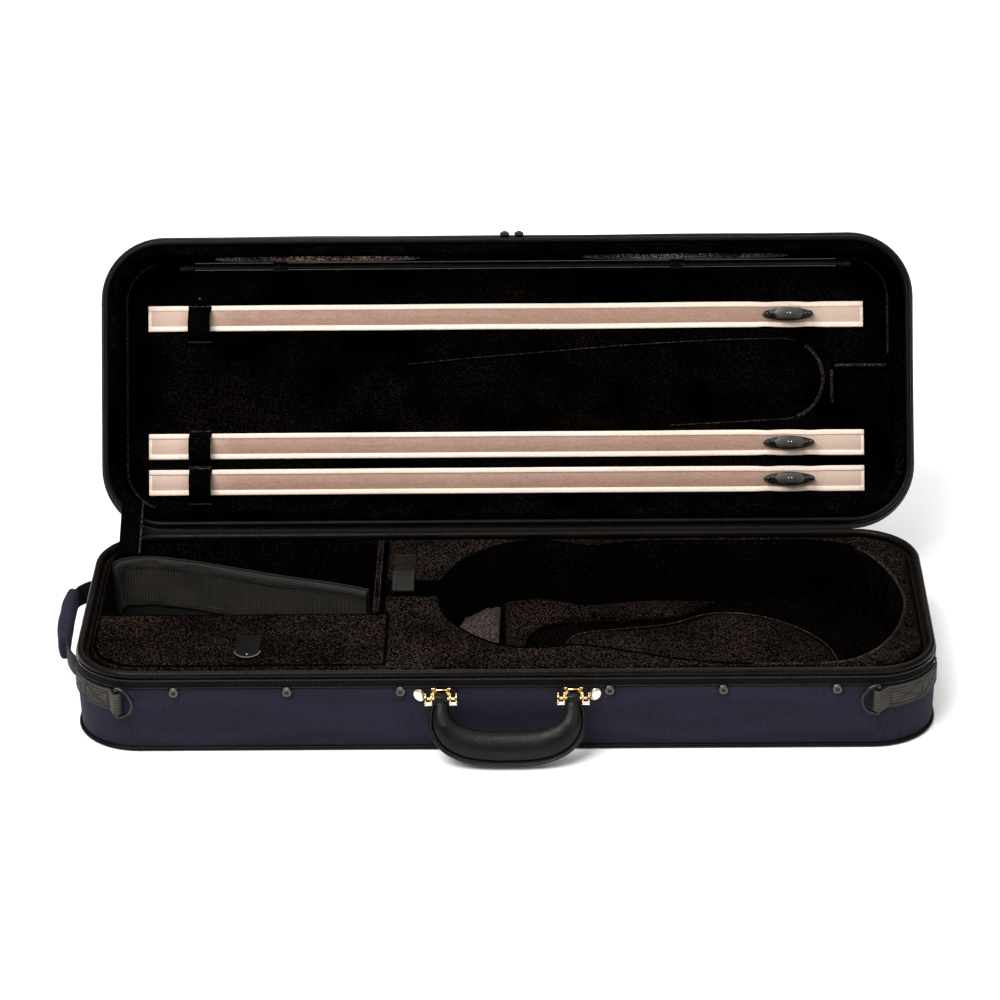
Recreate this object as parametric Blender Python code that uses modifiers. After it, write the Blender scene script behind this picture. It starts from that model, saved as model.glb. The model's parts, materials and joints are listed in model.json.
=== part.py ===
"""An oblong instrument case, lying on its base with the lid held open by a stay.

Metres, +Z up, +X along the case to the right, +Y to the hinge side. The origin is the centre of the
underside. The lid is modelled closed, in the frame of an empty on its hinge axis, which turns it open.
"""

import math

import bmesh
import bpy
from mathutils import Matrix, Vector

# Overall sizes
CASE_LENGTH = 0.790
CASE_WIDTH = 0.284
BASE_HEIGHT = 0.081
LID_HEIGHT = 0.068
CORNER_RADIUS = 0.060
LID_OPEN_ANGLE = math.radians(118)
GAP = 0.0003
CORNER_STEPS = 6

# Layers of the walls, as insets from the outermost outline
TAPE_THICKNESS = 0.0010
COVER_INSET = 0.0013
COVER_THICKNESS = 0.0015
SHELL_INSET = COVER_INSET + COVER_THICKNESS + GAP
SHELL_WALL = 0.0080
LINING_INSET = SHELL_INSET + SHELL_WALL + GAP
EDGE_ROUND = 0.0060
SHELL_EDGE_ROUND = 0.0050
WELT_RADIUS = 0.0035
WELT_INSET = 0.0040
EDGE_WELT_RADIUS = 0.0013
EDGE_WELT_ANGLE = math.radians(30)

# Heights in the base
TAPE_LOW = 0.0645
TAPE_HIGH = 0.0735
SHELL_FLOOR = 0.0018
INSERT_FLOOR = 0.0100
WELL_FLOOR = 0.0115
INSERT_TOP = 0.0790
PAD_LOW = 0.0118
PAD_TOP = 0.0190

# Hinge axis of the lid, and heights in the lid's own frame, whose origin is on that axis
HINGE_Y = 0.1440
HINGE_Z = 0.0812
LID_MIDDLE = -HINGE_Y
LID_TAPE_LOW = 0.0078
LID_SHELL_WALL = 0.0050
LID_LINING_LOW = 0.0012
LID_TAPE_HIGH = 0.0168
LINING_WALL = 0.0065
PANEL_Z = 0.0555
LINING_TOP = 0.0608
RECESS_DEPTH = 0.0040

# The instrument cavity, clockwise from the neck channel, as points of a smooth closed curve
CAVITY_POINTS = [
    (-0.064, 0.026), (-0.054, 0.063), (-0.034, 0.094), (-0.002, 0.117), (0.030, 0.1245),
    (0.056, 0.119), (0.078, 0.111), (0.100, 0.115), (0.135, 0.121), (0.220, 0.1205),
    (0.290, 0.120), (0.322, 0.113), (0.346, 0.091), (0.364, 0.052), (0.373, 0.005),
    (0.370, -0.030), (0.356, -0.074), (0.330, -0.110), (0.296, -0.1245), (0.220, -0.1245),
    (0.165, -0.117), (0.118, -0.102), (0.086, -0.091), (0.062, -0.087), (0.034, -0.091),
    (0.006, -0.090), (-0.020, -0.077), (-0.046, -0.049), (-0.061, -0.016),
]
CAVITY_STEPS = 3

# Wells on the left of the insert
WELL_LEFT = -0.3785
WELL_RIGHT = -0.1140
WELL_BACK = 0.1260
WELL_FRONT = -0.1235
BOX_RIGHT = -0.1092
BOX_BACK = -0.0215
BOX_WALL = 0.0030
BOX_TOP = 0.0742
NECK_CHANNEL_Y = (0.011, 0.041)
NECK_CHANNEL_FLOOR = 0.0360
PARTITION_X = (-0.1240, -0.1195)

# Accessory lid and its pull tab
ACCESSORY_HINGE = (-0.0245, 0.0775)
ACCESSORY_X = (-0.3780, -0.1104)
ACCESSORY_Y = (-0.1226, -0.0260)
ACCESSORY_CORNER = 0.0440
PULL_TAB_X = -0.2360
PULL_TAB_WIDTH = 0.0240
PULL_TAB_Y = (-0.1130, -0.0680)
STRIP_OF_LEATHER = 0.0022

# Neck strap
NECK_STRAP_X = (-0.1080, -0.0870)
NECK_STRAP_HINGE_Y = 0.0575

# Shoulder strap, folded in the scroll compartment
STRAP_PATH = [
    (-0.366, 0.093), (-0.330, 0.092), (-0.288, 0.078), (-0.225, 0.055), (-0.165, 0.036), (-0.131, 0.022),
]
STRAP_THICKNESS = 0.0096
STRAP_TOP = 0.0790
STRAP_LIFT = (-0.25, 0.06, 0.0450)

# Fittings on the front
STUD_X = (0.0950, 0.1980, 0.3010)
STUD_Z = 0.0620
HANDLE_X = 0.0020
HANDLE_PIVOT_X = 0.0600
HANDLE_PIVOT_OUT = 0.0110
HANDLE_PIVOT_Z = 0.0595
HANDLE_TILT = math.radians(28)
HANDLE_FLATNESS = 0.36
PIN_RADIUS = 0.0020
RING_BAR_X = {"left": -0.3520, "right": 0.3380}
RING_BAR_OUT = 0.0048
RING_WIRE = 0.0017
RING_Z = (0.0360, 0.0690)
RING_REACH = 0.0165
TAB_Z = (0.0410, 0.0630)
TAB_WRAP = 84

# Strap handle on the left end: out from the wall and along Y, half thicknesses, and heights
SUBWAY_PATH = [
    (0.0022, -0.0740), (0.0100, -0.0600), (0.0190, -0.0440), (0.0250, -0.0100),
    (0.0270, 0.0300), (0.0240, 0.0580), (0.0120, 0.0700), (0.0022, 0.0790),
]
SUBWAY_PAD_Y = (-0.0400, 0.0560)
SUBWAY_WEB = 0.0016
SUBWAY_PADDED = 0.0036
SUBWAY_Z = (0.0400, 0.0620)

# Stay and canvas hinge, as (y, z) sections
STAY_LINE = [(0.0990, 0.0798), (0.1120, 0.0835), (0.1350, 0.0955), (0.1580, 0.1068)]
STAY_THICKNESS = 0.0012
STAY_X = (-0.3745, -0.3545)
FOLD_LINE = [
    (0.1434, 0.0600), (0.1434, 0.0770), (0.1446, 0.0796), (0.1468, 0.0798), (0.1500, 0.0782),
    (0.1600, 0.0729),
]
FOLD_THICKNESS = 0.0008

# Lid furniture, in the lid's frame: along the lid, and from the hinge to the front
STRIP_X = (-0.3540, 0.3510)
STRIP_WIDTH = 0.0255
STRIP_THICKNESS = 0.0038
STRIP_Y = (-0.2105, -0.0840, -0.0485)
LOOP_X = -0.3030
LOOP_WIDTH = 0.0220
LOOP_SPAN = 0.0350
LOOP_HEIGHT = 0.0130
LOOP_Y = (-0.2045, -0.0812, -0.0445)
CLIP_X = 0.2770
CLIP_LENGTH = 0.0510
CLIP_WIDTH = 0.0135
CLIP_THICKNESS = 0.0022
PEG_SPACING = 0.0420
SWIVEL_LENGTH = 0.0300
SWIVEL_WIDTH = 0.0100
PEG_PROFILE = [
    (0, 0), (0.0012, 0), (0.0012, -0.0070), (0.0024, -0.0086), (0.0024, -0.0104), (0.0012, -0.0120),
    (0, -0.0120),
]
POST_PROFILE = [(0, -GAP), (0.0034, -GAP), (0.0030, -0.0140), (0, -0.0140)]
TOGGLE_Z = (-0.0175, -0.0130)
LOOP_THICKNESS = 0.0014
RAIL_X = (-0.3230, 0.3400)
RAIL_Y = -0.2612
RAIL_Z = 0.0480
RAIL_RADIUS = 0.0042
RAIL_CAP = 0.0160
CAP_RADIUS = 0.0054
CAP_CHAMFER = 0.0010
RAIL_BRACKET_X = {"left": -0.2225, "right": 0.1680}
RAIL_BRACKET_WIDTH = 0.0140
SLIDER_X = {"left": -0.0010, "right": 0.0130}

MATERIALS = {
    "canvas": ((0.020, 0.020, 0.040), 0.85, 0.0),
    "shell_board": ((0.20, 0.15, 0.10), 0.80, 0.0),
    "velour": ((0.035, 0.024, 0.020), 0.95, 0.0),
    "webbing": ((0.027, 0.025, 0.020), 0.80, 0.0),
    "piping": ((0.050, 0.046, 0.036), 0.60, 0.0),
    "leather": ((0.018, 0.016, 0.014), 0.45, 0.0),
    "brass": ((0.80, 0.52, 0.20), 0.25, 1.0),
    "dark_nickel": ((0.20, 0.19, 0.18), 0.30, 1.0),
    "black_plastic": ((0.020, 0.020, 0.020), 0.35, 0.0),
    "bow_satin": ((0.56, 0.35, 0.28), 0.50, 0.0),
}


def remove_scene_objects():
    for obj in list(bpy.data.objects):
        bpy.data.objects.remove(obj, do_unlink=True)


def new_collection(name):
    collection = bpy.data.collections.new(name)
    bpy.context.scene.collection.children.link(collection)
    return collection


remove_scene_objects()
PARTS = new_collection("violin_case")
CUTTERS = new_collection("cutters")

# Stands an outline of (y, z) points upright, so that its thickness runs along X
ACROSS = Matrix(((0, 0, 1, 0), (1, 0, 0, 0), (0, 1, 0, 0), (0, 0, 0, 1)))

# Stands an outline upright, so that its thickness runs out of the front
FACING_FRONT = Matrix.Rotation(math.pi / 2, 4, "X")


def own_material(name, finish):
    colour, roughness, metallic = MATERIALS[finish]
    material = bpy.data.materials.new(name + "_material")
    material.use_nodes = True
    shader = material.node_tree.nodes["Principled BSDF"]
    shader.inputs["Base Color"].default_value = (*colour, 1.0)
    shader.inputs["Roughness"].default_value = roughness
    shader.inputs["Metallic"].default_value = metallic
    return material


def place(name, mesh, finish, parent=None):
    """A part's object: its mesh, its own material and, for pieces that move or ride, its parent empty."""
    obj = bpy.data.objects.new(name, mesh)
    PARTS.objects.link(obj)
    obj.data.materials.clear()
    obj.data.materials.append(own_material(name, finish))
    obj.parent = parent
    return obj


def pivot(name, location, rotation=(0, 0, 0), parent=None):
    """An empty on a joint's axis."""
    empty = bpy.data.objects.new(name, None)
    PARTS.objects.link(empty)
    empty.empty_display_size = 0.02
    empty.location = location
    empty.rotation_euler = rotation
    empty.parent = parent
    return empty


def hide_cutter(obj):
    for collection in list(obj.users_collection):
        collection.objects.unlink(obj)
    CUTTERS.objects.link(obj)
    obj.hide_render = True
    obj.display_type = "WIRE"


def cut(obj, cutter, operation="DIFFERENCE"):
    modifier = obj.modifiers.new(operation.lower(), "BOOLEAN")
    modifier.operation = operation
    modifier.object = cutter
    modifier.solver = "EXACT"


def apply_modifiers(obj):
    """Bakes an object's modifiers into its mesh and returns that mesh."""
    bpy.context.view_layer.update()
    graph = bpy.context.evaluated_depsgraph_get()
    mesh = bpy.data.meshes.new_from_object(obj.evaluated_get(graph))
    obj.modifiers.clear()
    obj.data = mesh
    return mesh


def welded_mesh_of(curve_object, transform=Matrix.Identity(4)):
    """The mesh of a curve object with its caps welded on. The curve is removed."""
    bpy.context.scene.collection.objects.link(curve_object)
    bpy.context.view_layer.update()
    graph = bpy.context.evaluated_depsgraph_get()
    mesh = bpy.data.meshes.new_from_object(curve_object.evaluated_get(graph))
    bpy.data.objects.remove(curve_object, do_unlink=True)
    work = bmesh.new()
    work.from_mesh(mesh)
    bmesh.ops.remove_doubles(work, verts=work.verts, dist=1e-6)
    bmesh.ops.recalc_face_normals(work, faces=work.faces)
    bmesh.ops.transform(work, matrix=transform, verts=work.verts)
    work.to_mesh(mesh)
    work.free()
    return mesh


def flat_mesh(outlines, low, high, transform=Matrix.Identity(4)):
    """A flat piece from z = low to high. Of its closed outlines, the first is its edge, the rest holes."""
    curve = bpy.data.curves.new("outline", "CURVE")
    curve.dimensions = "2D"
    curve.fill_mode = "BOTH"
    curve.extrude = (high - low) / 2
    for outline in outlines:
        spline = curve.splines.new("POLY")
        spline.points.add(len(outline) - 1)
        for point, (x, y) in zip(spline.points, outline):
            point.co = (x, y, 0, 1)
        spline.use_cyclic_u = True
    lift = Matrix.Translation((0, 0, (high + low) / 2))
    return welded_mesh_of(bpy.data.objects.new("outline", curve), transform @ lift)


def tube_mesh(points, radius, cyclic=False, resolution=2, radii=None, transform=Matrix.Identity(4)):
    """A round tube along a polyline, with a factor on its radius at each point if radii is given."""
    curve = bpy.data.curves.new("tube", "CURVE")
    curve.dimensions = "3D"
    curve.bevel_depth = radius
    curve.bevel_resolution = resolution
    curve.use_fill_caps = True
    spline = curve.splines.new("POLY")
    spline.points.add(len(points) - 1)
    for index, point in enumerate(points):
        spline.points[index].co = (*point, 1)
        if radii:
            spline.points[index].radius = radii[index]
    spline.use_cyclic_u = cyclic
    return welded_mesh_of(bpy.data.objects.new("tube", curve), transform)


def turned_mesh(profile, steps=16, transform=Matrix.Identity(4)):
    """A solid turned about Z from (radius, z) points that run from the top of the axis to its bottom."""
    work = bmesh.new()
    verts = [work.verts.new((radius, 0, z)) for radius, z in profile]
    edges = [work.edges.new(pair) for pair in zip(verts, verts[1:])]
    bmesh.ops.spin(
        work, geom=verts + edges, cent=(0, 0, 0), axis=(0, 0, 1),
        angle=2 * math.pi, steps=steps, use_merge=True,
    )
    bmesh.ops.remove_doubles(work, verts=work.verts, dist=1e-6)
    bmesh.ops.recalc_face_normals(work, faces=work.faces)
    bmesh.ops.transform(work, matrix=transform, verts=work.verts)
    mesh = bpy.data.meshes.new("turned")
    work.to_mesh(mesh)
    work.free()
    return mesh


def box_mesh(low, high):
    """A box between two corners."""
    work = bmesh.new()
    bmesh.ops.create_cube(work, size=1)
    low = Vector(low)
    high = Vector(high)
    size = high - low
    bmesh.ops.scale(work, vec=size, verts=work.verts)
    bmesh.ops.translate(work, vec=(low + high) / 2, verts=work.verts)
    mesh = bpy.data.meshes.new("box")
    work.to_mesh(mesh)
    work.free()
    return mesh


def joined_mesh(name, meshes):
    """One solid made of overlapping meshes by Boolean union."""
    first = bpy.data.objects.new(name, meshes[0])
    bpy.context.scene.collection.objects.link(first)
    helpers = []
    for mesh in meshes[1:]:
        helper = bpy.data.objects.new(name + "_helper", mesh)
        bpy.context.scene.collection.objects.link(helper)
        helpers.append(helper)
        cut(first, helper, "UNION")
    mesh = apply_modifiers(first)
    for helper in [first, *helpers]:
        bpy.data.objects.remove(helper, do_unlink=True)
    return mesh


def arc(centre, radius, start, end, steps):
    """Points on an arc, angles in degrees."""
    points = []
    for step in range(steps + 1):
        angle = math.radians(start + (end - start) * step / steps)
        points.append((centre[0] + radius * math.cos(angle), centre[1] + radius * math.sin(angle)))
    return points


def ellipse(half_x, half_y, steps):
    angles = [math.tau * step / steps for step in range(steps)]
    return [(half_x * math.cos(angle), half_y * math.sin(angle)) for angle in angles]


def rounded_outline(low, high, radius, steps=CORNER_STEPS):
    """A rectangle with round corners, counter-clockwise. radius may be four, from the low corner on."""
    radii = radius if isinstance(radius, tuple) else (radius,) * 4
    corners = [
        (low[0] + radii[0], low[1] + radii[0], 180),
        (high[0] - radii[1], low[1] + radii[1], 270),
        (high[0] - radii[2], high[1] - radii[2], 0),
        (low[0] + radii[3], high[1] - radii[3], 90),
    ]
    points = []
    for (x, y, start), corner in zip(corners, radii):
        points += arc((x, y), corner, start, start + 90, steps if corner > 0.012 else 3)
    return points


def case_outline(inset, middle_y=0.0):
    """The case's outline in plan, moved in by an inset."""
    half_x = CASE_LENGTH / 2 - inset
    half_y = CASE_WIDTH / 2 - inset
    low = (-half_x, middle_y - half_y)
    high = (half_x, middle_y + half_y)
    return rounded_outline(low, high, CORNER_RADIUS - inset)


def smooth_closed(points, steps):
    """A closed Catmull-Rom curve through points, as a polyline."""
    count = len(points)
    result = []
    for index in range(count):
        p0, p1, p2, p3 = (Vector(points[(index + offset) % count]) for offset in (-1, 0, 1, 2))
        for step in range(steps):
            t = step / steps
            blend = (
                2 * p1 + (p2 - p0) * t + (2 * p0 - 5 * p1 + 4 * p2 - p3) * t**2
                + (3 * p1 - p0 - 3 * p2 + p3) * t**3
            )
            result.append(tuple(blend / 2))
    return result


def smooth_open(points, steps):
    """An open Catmull-Rom curve through points, as a polyline that keeps both ends."""
    ends = [2 * Vector(points[0]) - Vector(points[1]), 2 * Vector(points[-1]) - Vector(points[-2])]
    padded = [ends[0], *map(Vector, points), ends[1]]
    result = []
    for index in range(1, len(padded) - 2):
        p0, p1, p2, p3 = padded[index - 1 : index + 3]
        for step in range(steps):
            t = step / steps
            blend = (
                2 * p1 + (p2 - p0) * t + (2 * p0 - 5 * p1 + 4 * p2 - p3) * t**2
                + (3 * p1 - p0 - 3 * p2 + p3) * t**3
            )
            result.append(tuple(blend / 2))
    result.append(tuple(points[-1]))
    return result


def band_outline(line, low, high):
    """A band along a polyline, from low to high on its left. low and high may be one value per point."""
    highs = high if isinstance(high, list) else [high] * len(line)
    lows = low if isinstance(low, list) else [low] * len(line)
    near = []
    far = []
    for index, point in enumerate(line):
        before = Vector(line[max(index - 1, 0)])
        after = Vector(line[min(index + 1, len(line) - 1)])
        along = (after - before).normalized()
        normal = Vector((-along.y, along.x))
        near.append(tuple(Vector(point) + normal * lows[index]))
        far.append(tuple(Vector(point) + normal * highs[index]))
    return near + far[::-1]


def tray_mesh(outline, floor, rim, wall, edge_round):
    """A tray of even wall: an open surface from floor to rim, with a round lower edge, made solid inwards."""
    work = bmesh.new()
    ring = [work.verts.new((x, y, floor)) for x, y in outline]
    bottom = work.faces.new(ring)
    sides = bmesh.ops.extrude_edge_only(work, edges=list(bottom.edges))["geom"]
    top = [item for item in sides if isinstance(item, bmesh.types.BMVert)]
    bmesh.ops.translate(work, vec=(0, 0, rim - floor), verts=top)
    bmesh.ops.bevel(
        work, geom=list(bottom.edges), offset=edge_round, segments=3, affect="EDGES", profile=0.5,
    )
    bmesh.ops.recalc_face_normals(work, faces=work.faces)
    lowest = min(work.faces, key=lambda face: abs(face.calc_center_median().z - floor))
    if lowest.normal.z * (rim - floor) > 0:
        bmesh.ops.reverse_faces(work, faces=work.faces)
    mesh = bpy.data.meshes.new("tray")
    work.to_mesh(mesh)
    work.free()
    helper = bpy.data.objects.new("tray", mesh)
    bpy.context.scene.collection.objects.link(helper)
    solidify = helper.modifiers.new("wall", "SOLIDIFY")
    solidify.thickness = wall
    solidify.offset = -1
    solidify.use_even_offset = True
    result = apply_modifiers(helper)
    bpy.data.objects.remove(helper, do_unlink=True)
    return result


def ring_points(inset, z, middle_y=0.0):
    return [(x, y, z) for x, y in case_outline(inset, middle_y)]


def edge_welt_points(edge, direction, middle_y=0.0):
    """Path of the thin piping that lies on a round edge. direction is +1 for the base and -1 for the lid."""
    reach = EDGE_ROUND + GAP + EDGE_WELT_RADIUS
    inset = COVER_INSET + EDGE_ROUND - reach * math.cos(EDGE_WELT_ANGLE)
    height = edge + direction * (EDGE_ROUND - reach * math.sin(EDGE_WELT_ANGLE))
    return ring_points(inset, height, middle_y)


# Base ------------------------------------------------------------------------------------------


def build_base_walls():
    place("base_cover", tray_mesh(
        case_outline(COVER_INSET), 0, TAPE_HIGH - GAP, COVER_THICKNESS, EDGE_ROUND,
    ), "canvas")
    place("base_shell", tray_mesh(
        case_outline(SHELL_INSET), SHELL_FLOOR, TAPE_HIGH, SHELL_WALL, SHELL_EDGE_ROUND,
    ), "shell_board")
    place("base_bottom_welt", tube_mesh(edge_welt_points(0, 1), EDGE_WELT_RADIUS, True, 1), "piping")
    welt_z = BASE_HEIGHT - WELT_RADIUS
    place("base_rim_welt", tube_mesh(ring_points(WELT_INSET, welt_z), WELT_RADIUS, True), "piping")
    place("base_zip_tape", flat_mesh(
        [case_outline(0), case_outline(TAPE_THICKNESS)], TAPE_LOW, TAPE_HIGH,
    ), "webbing")


def build_insert():
    """The velour block: cavity, neck channel, and the wells for the scroll compartment and accessory box."""
    block = flat_mesh([case_outline(LINING_INSET)], INSERT_FLOOR, INSERT_TOP)
    insert = place("suspension_insert", block, "velour")
    above = INSERT_TOP + 0.01
    cavity = smooth_closed(CAVITY_POINTS, CAVITY_STEPS)
    well_corners = (0.044, 0.004, 0.004, 0.042)
    well = rounded_outline((WELL_LEFT, WELL_FRONT), (WELL_RIGHT, WELL_BACK), well_corners)
    box_well = rounded_outline((WELL_LEFT + 0.06, WELL_FRONT), (BOX_RIGHT, BOX_BACK), 0.003)
    shapes = [
        ("cavity_cutter", flat_mesh([cavity], WELL_FLOOR, above)),
        ("well_cutter", flat_mesh([well], WELL_FLOOR, above)),
        ("box_well_cutter", flat_mesh([box_well], WELL_FLOOR, above)),
        ("channel_cutter", box_mesh(
            (WELL_RIGHT - 0.01, NECK_CHANNEL_Y[0], NECK_CHANNEL_FLOOR), (-0.045, NECK_CHANNEL_Y[1], above),
        )),
    ]
    for name, mesh in shapes:
        cutter = bpy.data.objects.new(name, mesh)
        bpy.context.scene.collection.objects.link(cutter)
        hide_cutter(cutter)
        cut(insert, cutter)


def build_partition():
    """Thin wall at the right of the scroll compartment, notched for the neck."""
    low, high = PARTITION_X
    outline = [
        (BOX_BACK + 0.001, WELL_FLOOR + GAP), (WELL_BACK - GAP, WELL_FLOOR + GAP),
        (WELL_BACK - GAP, INSERT_TOP), (NECK_CHANNEL_Y[1], INSERT_TOP),
        (NECK_CHANNEL_Y[1], NECK_CHANNEL_FLOOR), (NECK_CHANNEL_Y[0], NECK_CHANNEL_FLOOR),
        (NECK_CHANNEL_Y[0], INSERT_TOP), (BOX_BACK + 0.001, INSERT_TOP),
    ]
    place("compartment_partition", flat_mesh([outline], low, high, ACROSS), "velour")


def build_pads():
    """The pads on the cavity floor."""
    ramp = [(-0.052, 0.008), (-0.043, -0.036), (-0.020, -0.068), (-0.0055, -0.078), (-0.0055, 0.106),
            (-0.020, 0.096), (-0.040, 0.074), (-0.050, 0.046)]
    wedge = place("neck_ramp_cushion", flat_mesh([ramp], PAD_LOW, PAD_TOP + 0.008), "velour")
    slope = bpy.data.objects.new("ramp_slope_cutter", box_mesh((-0.10, -0.15, 0), (0.10, 0.15, 0.05)))
    bpy.context.scene.collection.objects.link(slope)
    slope.location = (-0.0055, 0, PAD_TOP)
    slope.rotation_euler = (0, math.radians(8.5), 0)
    hide_cutter(slope)
    cut(wedge, slope)

    shelf_edge = [(0.019, 0.020), (0.024, 0.046), (0.038, 0.063), (0.058, 0.071), (0.094, 0.075),
                  (0.132, 0.079), (0.166, 0.085), (0.189, 0.099), (0.206, 0.113)]
    upper = smooth_open(shelf_edge, 2) + [
        (0.140, 0.116), (0.100, 0.110), (0.078, 0.106), (0.056, 0.113), (0.030, 0.118),
        (-0.0045, 0.111), (-0.0045, -0.084), (0.019, -0.085),
    ]
    place("upper_bout_cushion", flat_mesh([upper], PAD_LOW, PAD_TOP), "velour")

    near_edge = [(0.048, 0.010), (0.060, 0.042), (0.093, 0.052), (0.140, 0.060), (0.166, 0.069),
                 (0.188, 0.083), (0.214, 0.087), (0.244, 0.080), (0.275, 0.060), (0.302, 0.030),
                 (0.316, -0.010), (0.314, -0.070), (0.292, -0.110)]
    lower = smooth_open(near_edge, 2) + [
        (0.220, -0.1185), (0.168, -0.111), (0.120, -0.096), (0.088, -0.085), (0.062, -0.081), (0.040, -0.084),
    ]
    place("lower_bout_cushion", flat_mesh([lower], PAD_LOW, PAD_TOP - 0.0005), "velour")


def build_accessory_compartment():
    outline = rounded_outline(
        (WELL_LEFT + 0.0005, WELL_FRONT + 0.0005), (BOX_RIGHT - 0.0004, BOX_BACK - 0.0005),
        (0.0436, 0.003, 0.003, 0.003),
    )
    place("accessory_box", tray_mesh(outline, WELL_FLOOR + GAP, BOX_TOP, BOX_WALL, 0.001), "velour")

    hinge = pivot("accessory_lid_hinge", (0, *ACCESSORY_HINGE))
    to_hinge = Matrix.Translation((0, -ACCESSORY_HINGE[0], -ACCESSORY_HINGE[1]))
    low, high = zip(ACCESSORY_X, ACCESSORY_Y)
    panel = rounded_outline(low, high, (ACCESSORY_CORNER, 0.003, 0.002, 0.002))
    place("accessory_lid", flat_mesh([panel], BOX_TOP + 0.0005, INSERT_TOP, to_hinge), "velour", hinge)

    half = PULL_TAB_WIDTH / 2
    tip = arc((PULL_TAB_X, PULL_TAB_Y[0] + half), half, 180, 360, 10)
    tab = tip + [(PULL_TAB_X + half, PULL_TAB_Y[1]), (PULL_TAB_X - half, PULL_TAB_Y[1])]
    tab = flat_mesh([tab], INSERT_TOP + GAP, INSERT_TOP + STRIP_OF_LEATHER, to_hinge)
    place("accessory_pull_tab", tab, "leather", hinge)


def build_neck_strap():
    low, high = NECK_STRAP_X
    place("neck_strap_root", box_mesh(
        (low, NECK_STRAP_HINGE_Y + 0.0015, INSERT_TOP + GAP), (high, 0.0910, INSERT_TOP + STRIP_OF_LEATHER),
    ), "webbing")
    hinge = pivot("neck_strap_hinge", (0, NECK_STRAP_HINGE_Y, INSERT_TOP + 0.0012))
    profile = [(0, 0), (-0.015, 0.0016), (-0.028, 0.0010), (-0.0400, -0.0004)]
    section = smooth_open(profile, 3)
    thickness = 0.0018
    outline = [(y, z + thickness) for y, z in section] + [(y, z) for y, z in reversed(section)]
    outline = [(y, z - 0.0008) for y, z in outline]
    place("neck_strap", flat_mesh([outline], low, high, ACROSS), "leather", hinge)


def build_shoulder_strap():
    """The folded strap, a standing band that runs across the scroll compartment."""
    path = smooth_open(STRAP_PATH, 4)
    lift = pivot("shoulder_strap_lift", STRAP_LIFT)
    outline = band_outline(path, -STRAP_THICKNESS / 2, STRAP_THICKNESS / 2)
    band = flat_mesh([outline], WELL_FLOOR + GAP, STRAP_TOP, Matrix.Translation(-Vector(STRAP_LIFT)))
    place("shoulder_strap", band, "webbing", lift)


def build_studs():
    """Snap studs: a turned ring with a hollow centre, facing the front."""
    profile = [(0, 0.0010), (0.0016, 0.0010), (0.0020, 0.0030), (0.0040, 0.0030), (0.0050, 0.0016),
               (0.0050, 0), (0, 0)]
    positions = sorted([-x for x in STUD_X] + list(STUD_X))
    for number, x in enumerate(positions, 1):
        stud = place(f"snap_stud_{number}", turned_mesh(profile, 14, FACING_FRONT), "dark_nickel")
        stud.location = (x, -CASE_WIDTH / 2 - GAP, STUD_Z)


def build_handle_brackets():
    """Brass plate, two ears and the pin through them, and the bright oval tab on the outer side."""
    front = -(CASE_WIDTH / 2 - COVER_INSET) - GAP
    pin_y = -CASE_WIDTH / 2 - HANDLE_PIVOT_OUT
    for side, sign in (("left", -1), ("right", 1)):
        centre = HANDLE_X + sign * HANDLE_PIVOT_X
        plate = box_mesh((centre - 0.0165, front - 0.0016, 0.0480), (centre + 0.0165, front, 0.0635))
        pieces = [plate]
        for ear in (-1, 1):
            x = centre + ear * 0.0125
            low = (x - 0.0030, pin_y - 0.0040, 0.0525)
            pieces.append(box_mesh(low, (x + 0.0030, front - 0.0008, 0.0635)))
        ends = [(centre + reach, pin_y, HANDLE_PIVOT_Z) for reach in (-0.012, 0.012)]
        pieces.append(tube_mesh(ends, PIN_RADIUS))
        at_front = Matrix.Translation((centre + sign * 0.0190, front, 0.0545)) @ FACING_FRONT
        tilt = Matrix.Rotation(sign * math.radians(-25), 4, "Z")
        pieces.append(flat_mesh([ellipse(0.0058, 0.0066, 14)], 0.0001, 0.0022, at_front @ tilt))
        place(f"handle_bracket_{side}", joined_mesh("bracket", pieces), "brass")


def handle_path():
    """Centre line of the handle and its half width, in its own plane: across, and down from the pivots."""
    half = [(0.0600, 0.0036, 0.0064), (0.0598, 0.0100, 0.0068), (0.0578, 0.0220, 0.0082),
            (0.0500, 0.0345, 0.0118), (0.0340, 0.0430, 0.0146), (0.0150, 0.0450, 0.0154)]
    points = [(-x, down, width) for x, down, width in half]
    points += [(0.0, 0.0452, 0.0155)]
    points += [(x, down, width) for x, down, width in reversed(half)]
    return smooth_open(points, 3)


def build_carry_handle():
    """A padded leather handle on two pins. It hangs in front of the case and leans outwards."""
    pin_y = -CASE_WIDTH / 2 - HANDLE_PIVOT_OUT
    hinge = pivot("carry_handle_hinge", (HANDLE_X, pin_y, HANDLE_PIVOT_Z), (-HANDLE_TILT, 0, 0))
    path = handle_path()
    line = [(x, 0, -down) for x, down, _ in path]
    unit = 0.01
    widths = [width / unit for _, _, width in path]
    grip = tube_mesh(line, unit, False, 2, widths, Matrix.Diagonal((1, HANDLE_FLATNESS, 1, 1)))
    eye_outline = arc((0, 0), 0.0050, 0, 337.5, 15)
    eye_hole = arc((0, 0), PIN_RADIUS + 0.0004, 0, 330, 11)
    eyes = []
    for sign in (-1, 1):
        at_pin = Matrix.Translation((sign * HANDLE_PIVOT_X, 0, 0)) @ Matrix.Rotation(math.pi / 2, 4, "Y")
        eyes.append(flat_mesh([eye_outline, eye_hole], -0.0060, 0.0060, at_pin))
    place("carry_handle", joined_mesh("handle", [grip, *eyes]), "leather", hinge)


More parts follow.
